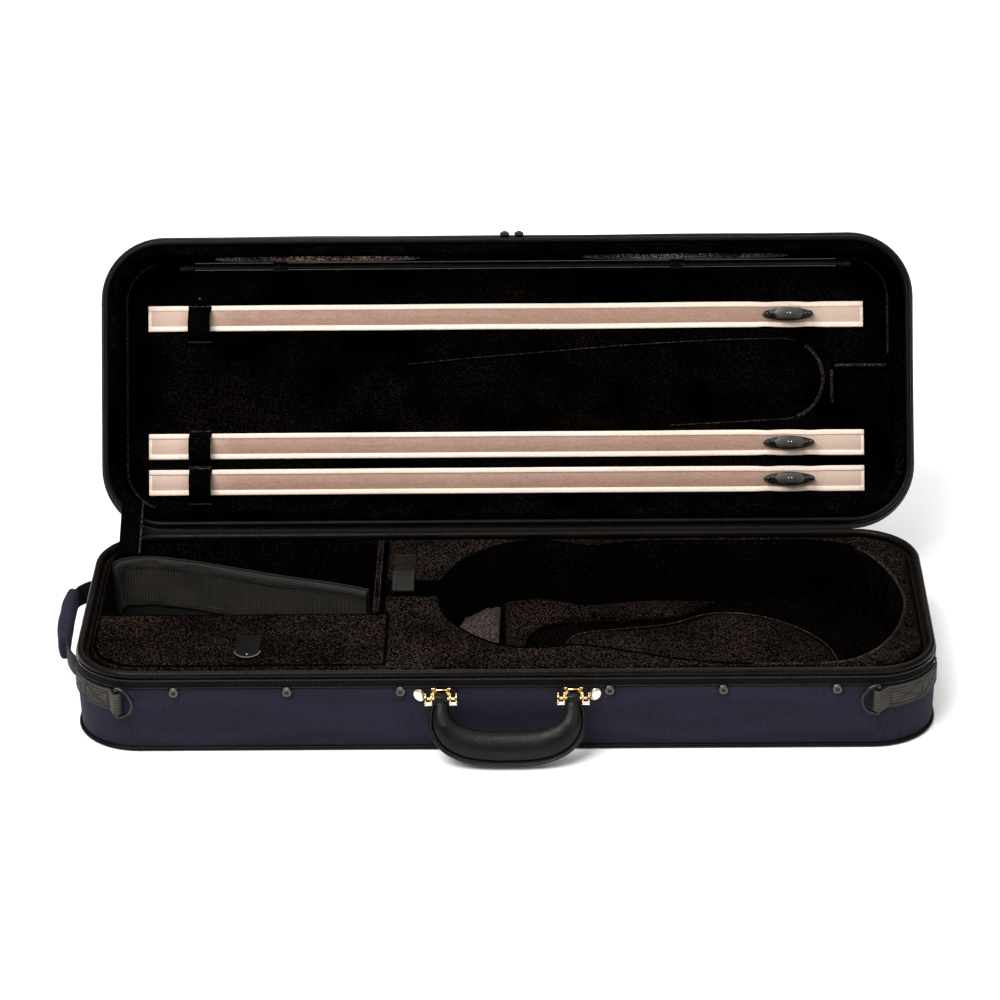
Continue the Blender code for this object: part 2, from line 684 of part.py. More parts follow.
def front_frame(x):
    """A frame on the outline of the base's front at x: +X along the outline, -Y straight out of it."""
    straight = CASE_LENGTH / 2 - CORNER_RADIUS
    if abs(x) <= straight:
        return Matrix.Translation((x, -CASE_WIDTH / 2, 0)), 0.0
    angle = math.copysign(math.asin((abs(x) - straight) / CORNER_RADIUS), x)
    centre = Matrix.Translation((math.copysign(straight, x), -CASE_WIDTH / 2 + CORNER_RADIUS, 0))
    return centre @ Matrix.Rotation(angle, 4, "Z") @ Matrix.Translation((0, -CORNER_RADIUS, 0)), angle


def corner_strip(x_sign, inner, outer, bar_x):
    """Outline of webbing that starts at bar_x on the front and turns round most of the corner."""
    centre = (x_sign * (CASE_LENGTH / 2 - CORNER_RADIUS), -CASE_WIDTH / 2 + CORNER_RADIUS)
    turned = math.degrees(abs(front_frame(bar_x)[1]))
    sides = []
    for offset in (inner, outer):
        bend = arc(centre, CORNER_RADIUS + offset, -90 + x_sign * turned, -90 + x_sign * TAB_WRAP, 8)
        start = [(bar_x, -CASE_WIDTH / 2 - offset)] if not turned else []
        sides.append([*start, *bend])
    return sides[0] + sides[1][::-1]


def build_rings():
    """A webbing tab at each front corner, rolled round the upright bar of a D-ring."""
    for side, sign in (("left", -1), ("right", 1)):
        frame, angle = front_frame(RING_BAR_X[side])
        bar = (0, -RING_BAR_OUT)
        strip = flat_mesh([corner_strip(sign, GAP, 0.0020, RING_BAR_X[side])], *TAB_Z)
        roll = flat_mesh([arc(bar, 0.0042, 0, 337.5, 15)], *TAB_Z, frame)
        filler = [(-0.0030, -0.0036), (0.0030, -0.0036), (0.0030, -0.0006), (-0.0030, -0.0006)]
        tab = joined_mesh("tab", [strip, roll, flat_mesh([filler], *TAB_Z, frame)])
        hole = flat_mesh([arc(bar, RING_WIRE + 0.0006, 0, 330, 11)], TAB_Z[0] - 0.01, TAB_Z[1] + 0.01, frame)
        obj = place(f"d_ring_tab_{side}", tab, "webbing")
        cutter = bpy.data.objects.new(f"ring_hole_{side}", hole)
        bpy.context.scene.collection.objects.link(cutter)
        hide_cutter(cutter)
        cut(obj, cutter)

        place_of_bar = frame @ Vector((*bar, sum(RING_Z) / 2))
        hinge = pivot(f"d_ring_{side}_hinge", place_of_bar, (0, 0, angle))
        half = (RING_Z[1] - RING_Z[0]) / 2 - RING_WIRE
        reach = RING_REACH - RING_WIRE
        loop = [(0, 0, 0)]
        for step in range(11):
            turn = math.radians(-90 + 18 * step)
            loop.append((-sign * math.cos(turn) * reach, 0, math.sin(turn) * half))
        place(f"d_ring_{side}", tube_mesh(loop, RING_WIRE, True), "dark_nickel", hinge)


def build_subway_handle():
    """A padded strap on the left end, fixed at both ends and bulging outwards."""
    wall = -CASE_LENGTH / 2
    line = smooth_open([(wall - out, y) for out, y in SUBWAY_PATH], 3)
    halves = [SUBWAY_PADDED if SUBWAY_PAD_Y[0] < y < SUBWAY_PAD_Y[1] else SUBWAY_WEB for _, y in line]
    outline = band_outline(line, [-half for half in halves], halves)
    place("subway_handle", flat_mesh([outline], *SUBWAY_Z), "canvas")


def build_lid_stay():
    """Fabric stay at the left end, from the rim of the base to the rim of the open lid."""
    section = band_outline(STAY_LINE, -STAY_THICKNESS / 2, STAY_THICKNESS / 2)
    place("lid_stay", flat_mesh([section], *STAY_X, ACROSS), "webbing")


def build_canvas_hinge():
    """Canvas strip folded along the hinge line, from the back of the base to the back of the lid."""
    section = band_outline(FOLD_LINE, -FOLD_THICKNESS / 2, FOLD_THICKNESS / 2)
    reach = CASE_LENGTH / 2 - CORNER_RADIUS
    place("canvas_hinge", flat_mesh([section], -reach, reach, ACROSS), "canvas")


# Lid -------------------------------------------------------------------------------------------

def build_lid_walls(lid):
    cover = tray_mesh(
        case_outline(COVER_INSET, LID_MIDDLE), LID_HEIGHT, LID_TAPE_LOW + GAP, COVER_THICKNESS, EDGE_ROUND,
    )
    place("lid_cover", cover, "canvas", lid)
    shell_top = LID_HEIGHT - COVER_THICKNESS - GAP
    shell = tray_mesh(
        case_outline(SHELL_INSET, LID_MIDDLE), shell_top, LID_TAPE_LOW, LID_SHELL_WALL, SHELL_EDGE_ROUND,
    )
    place("lid_shell", shell, "shell_board", lid)
    welt = tube_mesh(ring_points(WELT_INSET, WELT_RADIUS + GAP, LID_MIDDLE), WELT_RADIUS, True)
    place("lid_rim_welt", welt, "piping", lid)
    top_welt = tube_mesh(edge_welt_points(LID_HEIGHT, -1, LID_MIDDLE), EDGE_WELT_RADIUS, True, 1)
    place("lid_top_welt", top_welt, "piping", lid)
    outlines = [case_outline(0, LID_MIDDLE), case_outline(TAPE_THICKNESS, LID_MIDDLE)]
    place("lid_zip_tape", flat_mesh(outlines, LID_TAPE_LOW, LID_TAPE_HIGH), "webbing", lid)


def build_lid_lining(lid):
    """Velour lining: walls, panel, and the long recess with its short channel at the right end."""
    inset = SHELL_INSET + LID_SHELL_WALL + GAP
    block = flat_mesh([case_outline(inset, LID_MIDDLE)], LID_LINING_LOW, LINING_TOP)
    lining = place("lid_lining", block, "velour", lid)
    inside = case_outline(LINING_INSET + LINING_WALL, LID_MIDDLE)
    recess = smooth_open([(-0.185, -0.158), (-0.120, -0.162), (-0.047, -0.169), (0.033, -0.175),
                          (0.111, -0.181), (0.205, -0.186), (0.270, -0.187)], 2)
    recess += arc((0.272, -0.147), 0.040, -80, 80, 8)
    recess += [
        (0.236, -0.1055), (0.173, -0.1025), (0.100, -0.1000), (-0.160, -0.0990), (-0.185, -0.105),
    ]
    channel = rounded_outline((0.3200, -0.1600), (0.3760, -0.1220), 0.002)
    floor = PANEL_Z + RECESS_DEPTH
    for name, mesh in (
        ("lid_interior_cutter", flat_mesh([inside], -0.01, PANEL_Z)),
        ("lid_recess_cutter", flat_mesh([recess], PANEL_Z - 0.005, floor)),
        ("lid_channel_cutter", flat_mesh([channel], PANEL_Z - 0.005, floor)),
    ):
        cutter = bpy.data.objects.new(name, mesh)
        bpy.context.scene.collection.objects.link(cutter)
        cutter.parent = lid
        hide_cutter(cutter)
        cut(lining, cutter)


def build_bow_strip(number, y, lid):
    high = PANEL_Z - GAP
    low = high - STRIP_THICKNESS
    half = STRIP_WIDTH / 2
    strip = box_mesh((STRIP_X[0], y - half, low), (STRIP_X[1], y + half, high))
    place(f"bow_strip_{number}", strip, "bow_satin", lid)
    return low - GAP


def build_bow_loop(number, y, base, lid):
    """The arched loop that holds a bow's tip, with two short feet on the strip."""
    reach = LOOP_SPAN / 2
    foot = 0.0035
    arch = [(y - reach, base), (y - reach + foot, base)]
    for step in range(8):
        angle = math.radians(20 + 20 * step)
        arch.append((y - math.cos(angle) * (reach - foot), base - math.sin(angle) * LOOP_HEIGHT))
    arch += [(y + reach - foot, base), (y + reach, base)]
    outline = band_outline(arch, -LOOP_THICKNESS, 0)
    loop = flat_mesh([outline], LOOP_X - LOOP_WIDTH / 2, LOOP_X + LOOP_WIDTH / 2, ACROSS)
    place(f"bow_tip_loop_{number}", loop, "webbing", lid)


def build_bow_clip(number, y, base, lid):
    """A clip plate with two pegs, and the swivel that turns on it to hold the bow's stick."""
    plate = []
    for step in range(24):
        angle = math.tau * step / 24
        along = math.copysign(abs(math.cos(angle)) ** 1.2, math.cos(angle))
        plate.append((CLIP_X + CLIP_LENGTH / 2 * along, y + CLIP_WIDTH / 2 * math.sin(angle)))
    low = base - CLIP_THICKNESS
    pieces = [flat_mesh([plate], low, base)]
    for sign in (-1, 1):
        peg_at = Matrix.Translation((CLIP_X + sign * PEG_SPACING / 2, y, low + 0.001))
        pieces.append(turned_mesh(PEG_PROFILE, 10, peg_at))
    place(f"bow_clip_plate_{number}", joined_mesh("clip", pieces), "black_plastic", lid)

    turn = pivot(f"bow_clip_swivel_{number}_axis", (CLIP_X, y, low), parent=lid)
    side = SWIVEL_WIDTH / 2
    end = SWIVEL_LENGTH / 2
    point = end - 0.004
    toggle = [(-end, 0), (-point, -side), (point, -side), (end, 0), (point, side), (-point, side)]
    swivel = joined_mesh("swivel", [turned_mesh(POST_PROFILE, 12), flat_mesh([toggle], *TOGGLE_Z)])
    place(f"bow_clip_swivel_{number}", swivel, "dark_nickel", turn)


def build_bow_holders(lid):
    """Three padded strips, each with a loop for the bow's tip and a clip for its stick."""
    for number, (strip_y, loop_y) in enumerate(zip(STRIP_Y, LOOP_Y), 1):
        base = build_bow_strip(number, strip_y, lid)
        build_bow_loop(number, loop_y, base, lid)
        build_bow_clip(number, strip_y, base, lid)


def build_rail(lid):
    """A rod along the front of the lid, with a cap on each end, held by two brackets."""
    at_rail = Matrix.Translation((0, RAIL_Y, RAIL_Z)) @ Matrix.Rotation(math.pi / 2, 4, "Y")
    left, right = RAIL_X
    rod_low = left + RAIL_CAP
    rod_high = right - RAIL_CAP
    rod = [(0, rod_high), (RAIL_RADIUS, rod_high), (RAIL_RADIUS, rod_low), (0, rod_low)]
    place("utility_rail", turned_mesh(rod, 14, at_rail), "black_plastic", lid)
    for side, low, high in (("left", left, rod_low - GAP), ("right", rod_high + GAP, right)):
        end = CAP_RADIUS - CAP_CHAMFER
        cap = [
            (0, high), (end, high), (CAP_RADIUS, high - 0.002), (CAP_RADIUS, low + 0.002), (end, low), (0, low),
        ]
        place(f"rail_end_cap_{side}", turned_mesh(cap, 14, at_rail), "dark_nickel", lid)
    at_bracket = Matrix.Translation((0, RAIL_Y, RAIL_Z)) @ ACROSS
    outline = rounded_outline((-0.0058, -0.0062), (0.0058, 0.0072), 0.0015)
    hole = arc((0, 0), RAIL_RADIUS + GAP + 0.0001, 0, 337.5, 15)
    for side, x in RAIL_BRACKET_X.items():
        reach = RAIL_BRACKET_WIDTH / 2
        bracket = flat_mesh([outline, hole], x - reach, x + reach, at_bracket)
        place(f"rail_bracket_{side}", bracket, "black_plastic", lid)


def build_zip(lid):
    """Two sliders on the front edge of the lid, each with a pull."""
    front = LID_MIDDLE - CASE_WIDTH / 2
    for side, sign in (("left", -1), ("right", 1)):
        start = pivot(f"zip_slider_{side}_start", (SLIDER_X[side], front, 0.0060), parent=lid)
        body = rounded_outline((-0.0045, -0.0030), (0.0045, -0.0005), 0.0008)
        rise = flat_mesh([body], -0.0030, 0.0030)
        bridge = box_mesh((-0.0018, -0.0045, 0.0010), (0.0018, -0.0020, 0.0025))
        place(f"zip_slider_{side}", joined_mesh("slider", [rise, bridge]), "dark_nickel", start)
        hinge = pivot(f"zip_pull_{side}_hinge", (0, -0.0042, 0.0052), parent=start)
        pull = [*arc((0, 0.0225), 0.0035, 0, 180, 6), *arc((0, 0), 0.0022, 180, 360, 6)]
        flat = flat_mesh([pull], -0.0006, 0.0006, FACING_FRONT)
        place(f"zip_pull_{side}", flat, "dark_nickel", hinge)


def shade(obj):
    obj.data.shade_smooth()
    obj.data.set_sharp_from_angle(angle=math.radians(35))


def main():
    build_base_walls()
    build_insert()
    build_partition()
    build_pads()
    build_accessory_compartment()
    build_neck_strap()
    build_shoulder_strap()
    build_studs()
    build_handle_brackets()
    build_carry_handle()
    build_rings()
    build_subway_handle()
    build_lid_stay()
    build_canvas_hinge()
    lid = pivot("lid_hinge", (0, HINGE_Y, HINGE_Z), (-LID_OPEN_ANGLE, 0, 0))
    build_lid_walls(lid)
    build_lid_lining(lid)
    build_bow_holders(lid)
    build_rail(lid)
    build_zip(lid)
    for obj in PARTS.objects:
        if obj.type == "MESH":
            shade(obj)


main()
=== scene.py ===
"""The violin case's looks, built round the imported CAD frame.

Metres, +Z up, +X along the case, +Y to the hinge side. Lid pieces are shaped closed, in the lid's own frame
(origin on the hinge axis), and moved by LID.
"""

import json
import math

import bmesh
import bpy
import numpy as np
from mathutils import Matrix, Vector, noise


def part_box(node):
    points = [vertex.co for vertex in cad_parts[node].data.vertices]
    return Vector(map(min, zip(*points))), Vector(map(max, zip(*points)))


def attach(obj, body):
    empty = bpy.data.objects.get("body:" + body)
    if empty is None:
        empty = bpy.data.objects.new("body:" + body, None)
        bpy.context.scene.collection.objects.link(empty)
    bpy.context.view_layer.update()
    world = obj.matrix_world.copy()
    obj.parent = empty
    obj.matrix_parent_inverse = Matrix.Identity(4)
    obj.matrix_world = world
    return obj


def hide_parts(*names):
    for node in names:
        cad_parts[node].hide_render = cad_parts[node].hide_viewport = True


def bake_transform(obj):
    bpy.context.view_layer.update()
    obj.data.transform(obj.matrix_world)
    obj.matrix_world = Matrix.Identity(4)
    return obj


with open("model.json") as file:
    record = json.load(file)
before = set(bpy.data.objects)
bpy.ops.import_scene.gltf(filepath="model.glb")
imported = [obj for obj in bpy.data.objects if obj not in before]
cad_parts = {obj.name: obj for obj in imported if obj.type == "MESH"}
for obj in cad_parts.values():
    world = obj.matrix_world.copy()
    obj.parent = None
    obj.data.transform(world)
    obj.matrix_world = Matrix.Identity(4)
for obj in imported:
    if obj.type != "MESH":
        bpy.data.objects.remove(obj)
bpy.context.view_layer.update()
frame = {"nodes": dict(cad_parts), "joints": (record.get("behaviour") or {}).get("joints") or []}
NODES = frame["nodes"]

LID_OPEN = math.radians(118)
HANDLE_LEAN = math.radians(28)

JOINTS = {joint["name"]: joint for joint in frame["joints"]}
HINGE = Vector(JOINTS["lid_hinge"]["pos_m"])
LID = Matrix.Translation(HINGE) @ Matrix.Rotation(-LID_OPEN, 4, "X")
HANDLE_PIVOT = Vector(JOINTS["carry_handle_swing"]["pos_m"])
HANDLE = Matrix.Translation(HANDLE_PIVOT) @ Matrix.Rotation(-HANDLE_LEAN, 4, "X")
IDENTITY = Matrix.Identity(4)
UP = Vector((0, 0, 1))
ACROSS = Vector((1, 0, 0))

# The case's outline in plan, and its corners' radius. The canvas lies COVER_INSET inside it.
LENGTH = 0.790
WIDTH = 0.284
CORNER = 0.060
COVER_INSET = 0.0013
# The base's velour rim, and the lid's middle, height and inner panel in its own frame.
INSERT_TOP = 0.0790
LID_MIDDLE = -HINGE.y
LID_HEIGHT = 0.068
PANEL_Z = 0.0555
# The carry handle's pins stand this far each side of its middle. The side handle runs at this height.
HANDLE_HALF = 0.0600
SIDE_HANDLE_Z = 0.051


# Materials -------------------------------------------------------------------------------------


# Speckles of velour pile in a metre, and the length of one wave of Blender's wave texture at scale 1.
PILE_SCALE = 740
WAVE_LENGTH = 0.314


class Graph:
    """A Principled material and short calls that add nodes to it."""

    def __init__(self, name, roughness=0.8, metallic=0.0, sheen=0.0, sheen_tint=(1, 1, 1), specular=0.5):
        self.material = bpy.data.materials.new(name)
        self.material.use_nodes = True
        self.tree = self.material.node_tree
        self.shader = self.tree.nodes["Principled BSDF"]
        for socket, value in (
            ("Roughness", roughness), ("Metallic", metallic), ("Sheen Weight", sheen),
            ("Sheen Roughness", 0.4), ("Sheen Tint", (*sheen_tint, 1)), ("Specular IOR Level", specular),
        ):
            self.shader.inputs[socket].default_value = value
        self.place = self.node("ShaderNodeTexCoord").outputs["Object"]

    def node(self, kind, inputs=None, **settings):
        node = self.tree.nodes.new(kind)
        for key, value in settings.items():
            setattr(node, key, value)
        for key, value in (inputs or {}).items():
            if isinstance(value, bpy.types.NodeSocket):
                self.tree.links.new(value, node.inputs[key])
            else:
                node.inputs[key].default_value = value
        return node

    def noise(self, scale, detail=2.0, rough=0.5, place=None):
        inputs = {"Vector": place or self.place, "Scale": scale, "Detail": detail, "Roughness": rough}
        return self.node("ShaderNodeTexNoise", inputs).outputs["Fac"]

    def cells(self, scale):
        return self.node("ShaderNodeTexVoronoi", {"Vector": self.place, "Scale": scale}).outputs["Distance"]

    def wave(self, scale, axis):
        inputs = {"Vector": self.place, "Scale": scale}
        return self.node("ShaderNodeTexWave", inputs, bands_direction=axis, wave_profile="SIN").outputs["Fac"]

    def math(self, operation, a, b=0.0):
        return self.node("ShaderNodeMath", {0: a, 1: b}, operation=operation).outputs[0]

    def along(self, axis):
        """The place along one axis, in metres."""
        return self.node("ShaderNodeSeparateXYZ", {0: self.place}).outputs[axis]

    def stops(self, value, *stops):
        """A colour ramp. Each stop is (position, colour) with a grey number or an RGB colour."""
        node = self.node("ShaderNodeValToRGB", {"Fac": value})
        ramp = node.color_ramp
        while len(ramp.elements) < len(stops):
            ramp.elements.new(0.5)
        for element, (position, colour) in zip(ramp.elements, stops):
            element.position = position
            element.color = (*((colour,) * 3 if isinstance(colour, (int, float)) else colour), 1)
        return node.outputs["Color"]

    def mix(self, factor, a, b, blend="MIX"):
        inputs = {0: factor, 6: a if isinstance(a, bpy.types.NodeSocket) else (*a, 1),
                  7: b if isinstance(b, bpy.types.NodeSocket) else (*b, 1)}
        return self.node("ShaderNodeMix", inputs, data_type="RGBA", blend_type=blend).outputs[2]

    def stretched(self, x, y, z):
        return self.node("ShaderNodeMapping", {"Vector": self.place, "Scale": (x, y, z)}).outputs["Vector"]

    def colour(self, socket):
        self.tree.links.new(socket, self.shader.inputs["Base Color"])

    def rough(self, socket):
        self.tree.links.new(socket, self.shader.inputs["Roughness"])

    def bump(self, *layers):
        """Bump layers of (height, strength, distance in metres), one on the other."""
        normal = None
        for height, strength, distance in layers:
            inputs = {"Height": height, "Strength": strength, "Distance": distance}
            if normal:
                inputs["Normal"] = normal
            normal = self.node("ShaderNodeBump", inputs).outputs["Normal"]
        self.tree.links.new(normal, self.shader.inputs["Normal"])
        return self.material


def velour(name, dark, light, sheen=0.12, patchy=(0.5, 1.2), top=None):
    """Short pile: speckled by the lie of its fibres, with brushed patches. Below top it darkens, painted
    shade in the cavity's depths.
    """
    graph = Graph(name, 0.95, sheen=sheen, sheen_tint=(0.62, 0.50, 0.44), specular=0.0)
    pile = graph.noise(PILE_SCALE, 2, 0.6)
    speckle = graph.stops(pile, (0.505, dark), (0.655, light))
    patches = graph.stops(graph.noise(15, 3, 0.55), (0.36, patchy[0]), (0.66, patchy[1]))
    colour = graph.mix(1.0, speckle, patches, "MULTIPLY")
    if top:
        # Painted shade: the pile darkens below top, standing in for the shade down in the cavity and wells.
        fade = 0.040
        share = graph.math("MULTIPLY", graph.math("SUBTRACT", graph.along("Z"), top - fade), 1 / fade)
        shade = graph.stops(share, (0.30, 0.18), (0.90, 0.28), (0.97, 1.0))
        colour = graph.mix(1.0, colour, shade, "MULTIPLY")
    graph.colour(colour)
    return graph.bump((graph.noise(110, 2), 0.25, 0.0006), (pile, 0.6, 0.0007))


def canvas(name, colour):
    """Plain weave: fine threads both ways, with small slubs and faint wear."""
    graph = Graph(name, 0.88, sheen=0.06, sheen_tint=(0.5, 0.5, 0.8), specular=0.15)
    across, down, up = (graph.wave(330, axis) for axis in "XYZ")
    weave = graph.math("MULTIPLY", graph.math("ADD", across, graph.math("ADD", down, up)), 0.333)
    base = graph.stops(weave, (0.2, [v * 0.72 for v in colour]), (0.8, [v * 1.25 for v in colour]))
    slubs = graph.stops(graph.noise(240, 3, 0.6), (0.35, 0.80), (0.68, 1.18))
    fade = graph.stops(graph.noise(7, 2), (0.3, 0.90), (0.7, 1.10))
    graph.colour(graph.mix(1.0, graph.mix(1.0, base, slubs, "MULTIPLY"), fade, "MULTIPLY"))
    return graph.bump((graph.noise(30, 2), 0.08, 0.002), (weave, 0.35, 0.0003))


def webbing(name, colour, axis="Z", pitch=0.0012, specular=0.16):
    """Ribbed webbing, its ribs stacked along axis."""
    graph = Graph(name, 0.75, sheen=specular / 4, specular=specular)
    ribs = graph.wave(WAVE_LENGTH / pitch, axis)
    cross = graph.noise(900, 2)
    base = graph.stops(ribs, (0.1, [v * 0.5 for v in colour]), (0.8, [v * 1.2 for v in colour]))
    wear = graph.stops(graph.noise(35, 3), (0.3, 0.75), (0.7, 1.2))
    graph.colour(graph.mix(1.0, base, wear, "MULTIPLY"))
    return graph.bump((ribs, 0.5, 0.0005), (cross, 0.25, 0.0003))


def leather(name, dark, light, roughness=0.42, specular=0.5):
    """Soft leather: pebbled grain, fine creases and uneven gloss."""
    graph = Graph(name, roughness, specular=specular)
    grain = graph.cells(520)
    creases = graph.noise(70, 4, 0.65)
    tone = graph.stops(graph.noise(22, 3), (0.3, dark), (0.72, light))
    graph.colour(graph.mix(0.25, tone, graph.stops(grain, (0.0, 0.6), (0.7, 1.0)), "MULTIPLY"))
    graph.rough(graph.stops(creases, (0.3, roughness - 0.08), (0.7, roughness + 0.14)))
    return graph.bump((creases, 0.12, 0.0012), (grain, 0.30, 0.00035))


def metal(name, colour, roughness, scratch=0.06):
    """Plated metal with hairline wear and faint tarnish."""
    graph = Graph(name, roughness, 1.0)
    hairs = graph.noise(90, 3, 0.6, graph.stretched(1, 9, 9))
    tarnish = graph.noise(150, 2)
    graph.colour(graph.stops(tarnish, (0.25, [v * 0.78 for v in colour]), (0.7, colour)))
    graph.rough(graph.stops(hairs, (0.3, max(roughness - scratch, 0.05)), (0.7, roughness + scratch)))
    return graph.bump((hairs, 0.05, 0.0003))


def plastic(name, colour, roughness, specular=0.5):
    """Moulded plastic, thread or board: an even colour with a fine grain."""
    graph = Graph(name, roughness, specular=specular)
    grain = graph.noise(800, 2)
    dark, light = [v * 0.8 for v in colour], [v * 1.2 for v in colour]
    graph.colour(graph.stops(graph.noise(40, 2), (0.3, dark), (0.7, light)))
    graph.rough(graph.stops(graph.noise(120, 3), (0.3, roughness - 0.05), (0.7, roughness + 0.10)))
    return graph.bump((grain, 0.06, 0.0002))


def satin(name, dark, light, along=0.12, ends=False):
    """Padded cloth with a soft shine and a fine grain. With ends, it pales where a strip is pulled tight."""
    graph = Graph(name, 0.55, sheen=0.15, sheen_tint=(1.0, 0.92, 0.88), specular=0.3)
    grain = graph.noise(560, 3, 0.65, graph.stretched(0.5, 1, 1))
    threads = graph.noise(420, 3, 0.6, graph.stretched(along, 1, 1))
    cross = graph.wave(420, "X")
    mixed = graph.math("ADD", graph.math("MULTIPLY", grain, 0.65), graph.math("MULTIPLY", threads, 0.35))
    tone = graph.stops(mixed, (0.36, dark), (0.62, light))
    patches = graph.stops(graph.noise(9, 2), (0.3, 0.95), (0.7, 1.04))
    colour = graph.mix(1.0, tone, patches, "MULTIPLY")
    if ends:
        from_middle = graph.math("ABSOLUTE", graph.math("ADD", graph.along("X"), 0.004))
        near_end = graph.stops(graph.math("MULTIPLY", from_middle, 2.5), (0.66, 0.0), (0.80, 0.45))
        colour = graph.mix(near_end, colour, (0.76, 0.58, 0.48))
    graph.colour(colour)
    graph.rough(graph.stops(graph.noise(60, 2), (0.3, 0.45), (0.7, 0.65)))
    return graph.bump((graph.noise(60, 2), 0.12, 0.0010), (grain, 0.22, 0.0003), (cross, 0.10, 0.0002))


NAVY = canvas("navy_canvas", (0.0108, 0.0096, 0.0192))
# Painted shade: darker towards the bottom of the cavity and the wells.
INSERT_VELOUR = velour("insert_velour", (0.0005, 0.0004, 0.0003), (0.039, 0.0262, 0.0214), 0.01, top=0.0790)
VELOUR = velour("velour", (0.0005, 0.0004, 0.0003), (0.036, 0.0240, 0.0196), 0.01)
LID_VELOUR = velour("lid_velour", (0.0002, 0.0002, 0.0002), (0.0090, 0.0064, 0.0055), 0.0, (0.05, 1.0))
BRUSHED_VELOUR = velour("brushed_velour", (0.010, 0.008, 0.007), (0.55, 0.43, 0.37), 0.05, (0.15, 1.2))
# A lit copy of the velour: painted highlight for rolled edges, ridges and hems that catch the light.
VELOUR_HIGHLIGHT = velour("velour_painted_highlight", (0.007, 0.0054, 0.0048), (0.092, 0.069, 0.060), 0.04)
# A lit copy of the velour: painted light on the ramp pad, which faces the light.
LIT_RAMP_VELOUR = velour("ramp_velour_painted_light", (0.013, 0.0100, 0.0096), (0.130, 0.097, 0.086), 0.04, (0.85, 1.1))
BLACK_VELOUR = velour("loop_velour", (0.0003, 0.0003, 0.0003), (0.0050, 0.0044, 0.0042), 0.0)
PIPING = leather("piping_vinyl", (0.0026, 0.0019, 0.0014), (0.0054, 0.0038, 0.0029), 0.28, 0.065)
LID_PIPING = leather("lid_piping_vinyl", (0.0014, 0.0012, 0.0010), (0.0034, 0.0030, 0.0025), 0.36, 0.075)
TAPE = webbing("zip_tape", (0.0044, 0.0038, 0.0031), "Z", 0.0011, 0.05)
TAB_WEBBING = webbing("tab_webbing", (0.0420, 0.0370, 0.0310), "Z", 0.0030)
STRAP_WEBBING = webbing("strap_webbing", (0.0200, 0.0172, 0.0140), "X", 0.0026)
BINDING = webbing("strap_binding", (0.0135, 0.0118, 0.0096), "Z", 0.0018)
BLACK_WEBBING = webbing("black_webbing", (0.0030, 0.0030, 0.0028), "Z", 0.0020)
LEATHER = leather("handle_leather", (0.0030, 0.0025, 0.0021), (0.0076, 0.0064, 0.0054), 0.34, 0.13)
STRAP_LEATHER = leather("strap_leather", (0.0080, 0.0072, 0.0064), (0.0150, 0.0138, 0.0122), 0.40, 0.06)
SUEDE = velour("suede", (0.0060, 0.0040, 0.0026), (0.0200, 0.0140, 0.0090), 0.08, (0.8, 1.1))
BRASS = metal("brass", (0.83, 0.57, 0.22), 0.14)
# A paler copy of the brass: painted highlights on the bracket rolls and tabs.
BRASS_HIGHLIGHT = metal("brass_painted_highlight", (1.0, 0.90, 0.74), 0.30)
STEEL = metal("steel", (0.62, 0.61, 0.58), 0.25)
# Painted highlights: the bright lines along the black rail.
RAIL_HIGHLIGHT = metal("rail_painted_highlight", (0.13, 0.13, 0.125), 0.35)
SWIVEL_METAL = metal("swivel_metal", (0.075, 0.073, 0.068), 0.36)
NICKEL = metal("dark_nickel", (0.17, 0.16, 0.14), 0.26)
STUD_METAL = metal("stud_metal", (0.085, 0.082, 0.076), 0.34)
BLACK_METAL = metal("black_metal", (0.040, 0.038, 0.035), 0.28)
BLACK_PLASTIC = plastic("black_plastic", (0.0045, 0.0045, 0.0045), 0.16)
RAIL_PLASTIC = plastic("rail_plastic", (0.0022, 0.0022, 0.0022), 0.22, 0.12)
TAB_LEATHER = leather("tab_leather", (0.0010, 0.0009, 0.0008), (0.0024, 0.0022, 0.0020), 0.30, 0.035)
HINGE_CANVAS = canvas("hinge_canvas", (0.0024, 0.0022, 0.0026))
# Near-black shells: painted shade in the gaps where they show between the rims and the velour.
BOARD_PAINTED_SHADE = plastic("board_painted_shade", (0.0048, 0.0036, 0.0030), 0.85, 0.01)
BOW_CLOTH = satin("bow_cloth", (0.243, 0.139, 0.099), (0.328, 0.198, 0.145), ends=True)
BOW_EDGE = satin("bow_edge", (0.70, 0.555, 0.455), (0.84, 0.70, 0.60), 0.05)
EDGE_TRIM = leather("edge_trim", (0.070, 0.070, 0.066), (0.110, 0.108, 0.100), 0.4)
THREAD = plastic("thread", (0.0035, 0.0032, 0.0028), 0.6)
PALE_THREAD = plastic("pale_thread", (0.034, 0.031, 0.026), 0.6)
FLOOR = Graph("floor_paint", 0.9, specular=0.1)
FLOOR.shader.inputs["Base Color"].default_value = (0.92, 0.92, 0.92, 1)


# Meshes ----------------------------------------------------------------------------------------


def turned_out(mesh, weld=False):
    """The mesh with its faces turned outward and, with weld, its doubled points joined."""
    work = bmesh.new()
    work.from_mesh(mesh)
    if weld:
        bmesh.ops.remove_doubles(work, verts=work.verts, dist=1e-6)
    bmesh.ops.recalc_face_normals(work, faces=work.faces)
    work.to_mesh(mesh)
    work.free()
    return mesh


def welded(mesh):
    return turned_out(mesh, weld=True)


def mesh_of(points, faces):
    mesh = bpy.data.meshes.new("shape")
    mesh.from_pydata([tuple(point) for point in points], [], faces)
    return turned_out(mesh)


def ball(radius, centre, segments, rings):
    work = bmesh.new()
    bmesh.ops.create_uvsphere(work, u_segments=segments, v_segments=rings, radius=radius)
    bmesh.ops.translate(work, vec=centre, verts=work.verts)
    mesh = bpy.data.meshes.new("ball")
    work.to_mesh(mesh)
    work.free()
    return mesh


def merged(meshes):
    """One mesh out of several, kept as separate shells, with their material numbers."""
    work = bmesh.new()
    for mesh in meshes:
        work.from_mesh(mesh)
    mesh = bpy.data.meshes.new("merged")
    work.to_mesh(mesh)
    work.free()
    return mesh


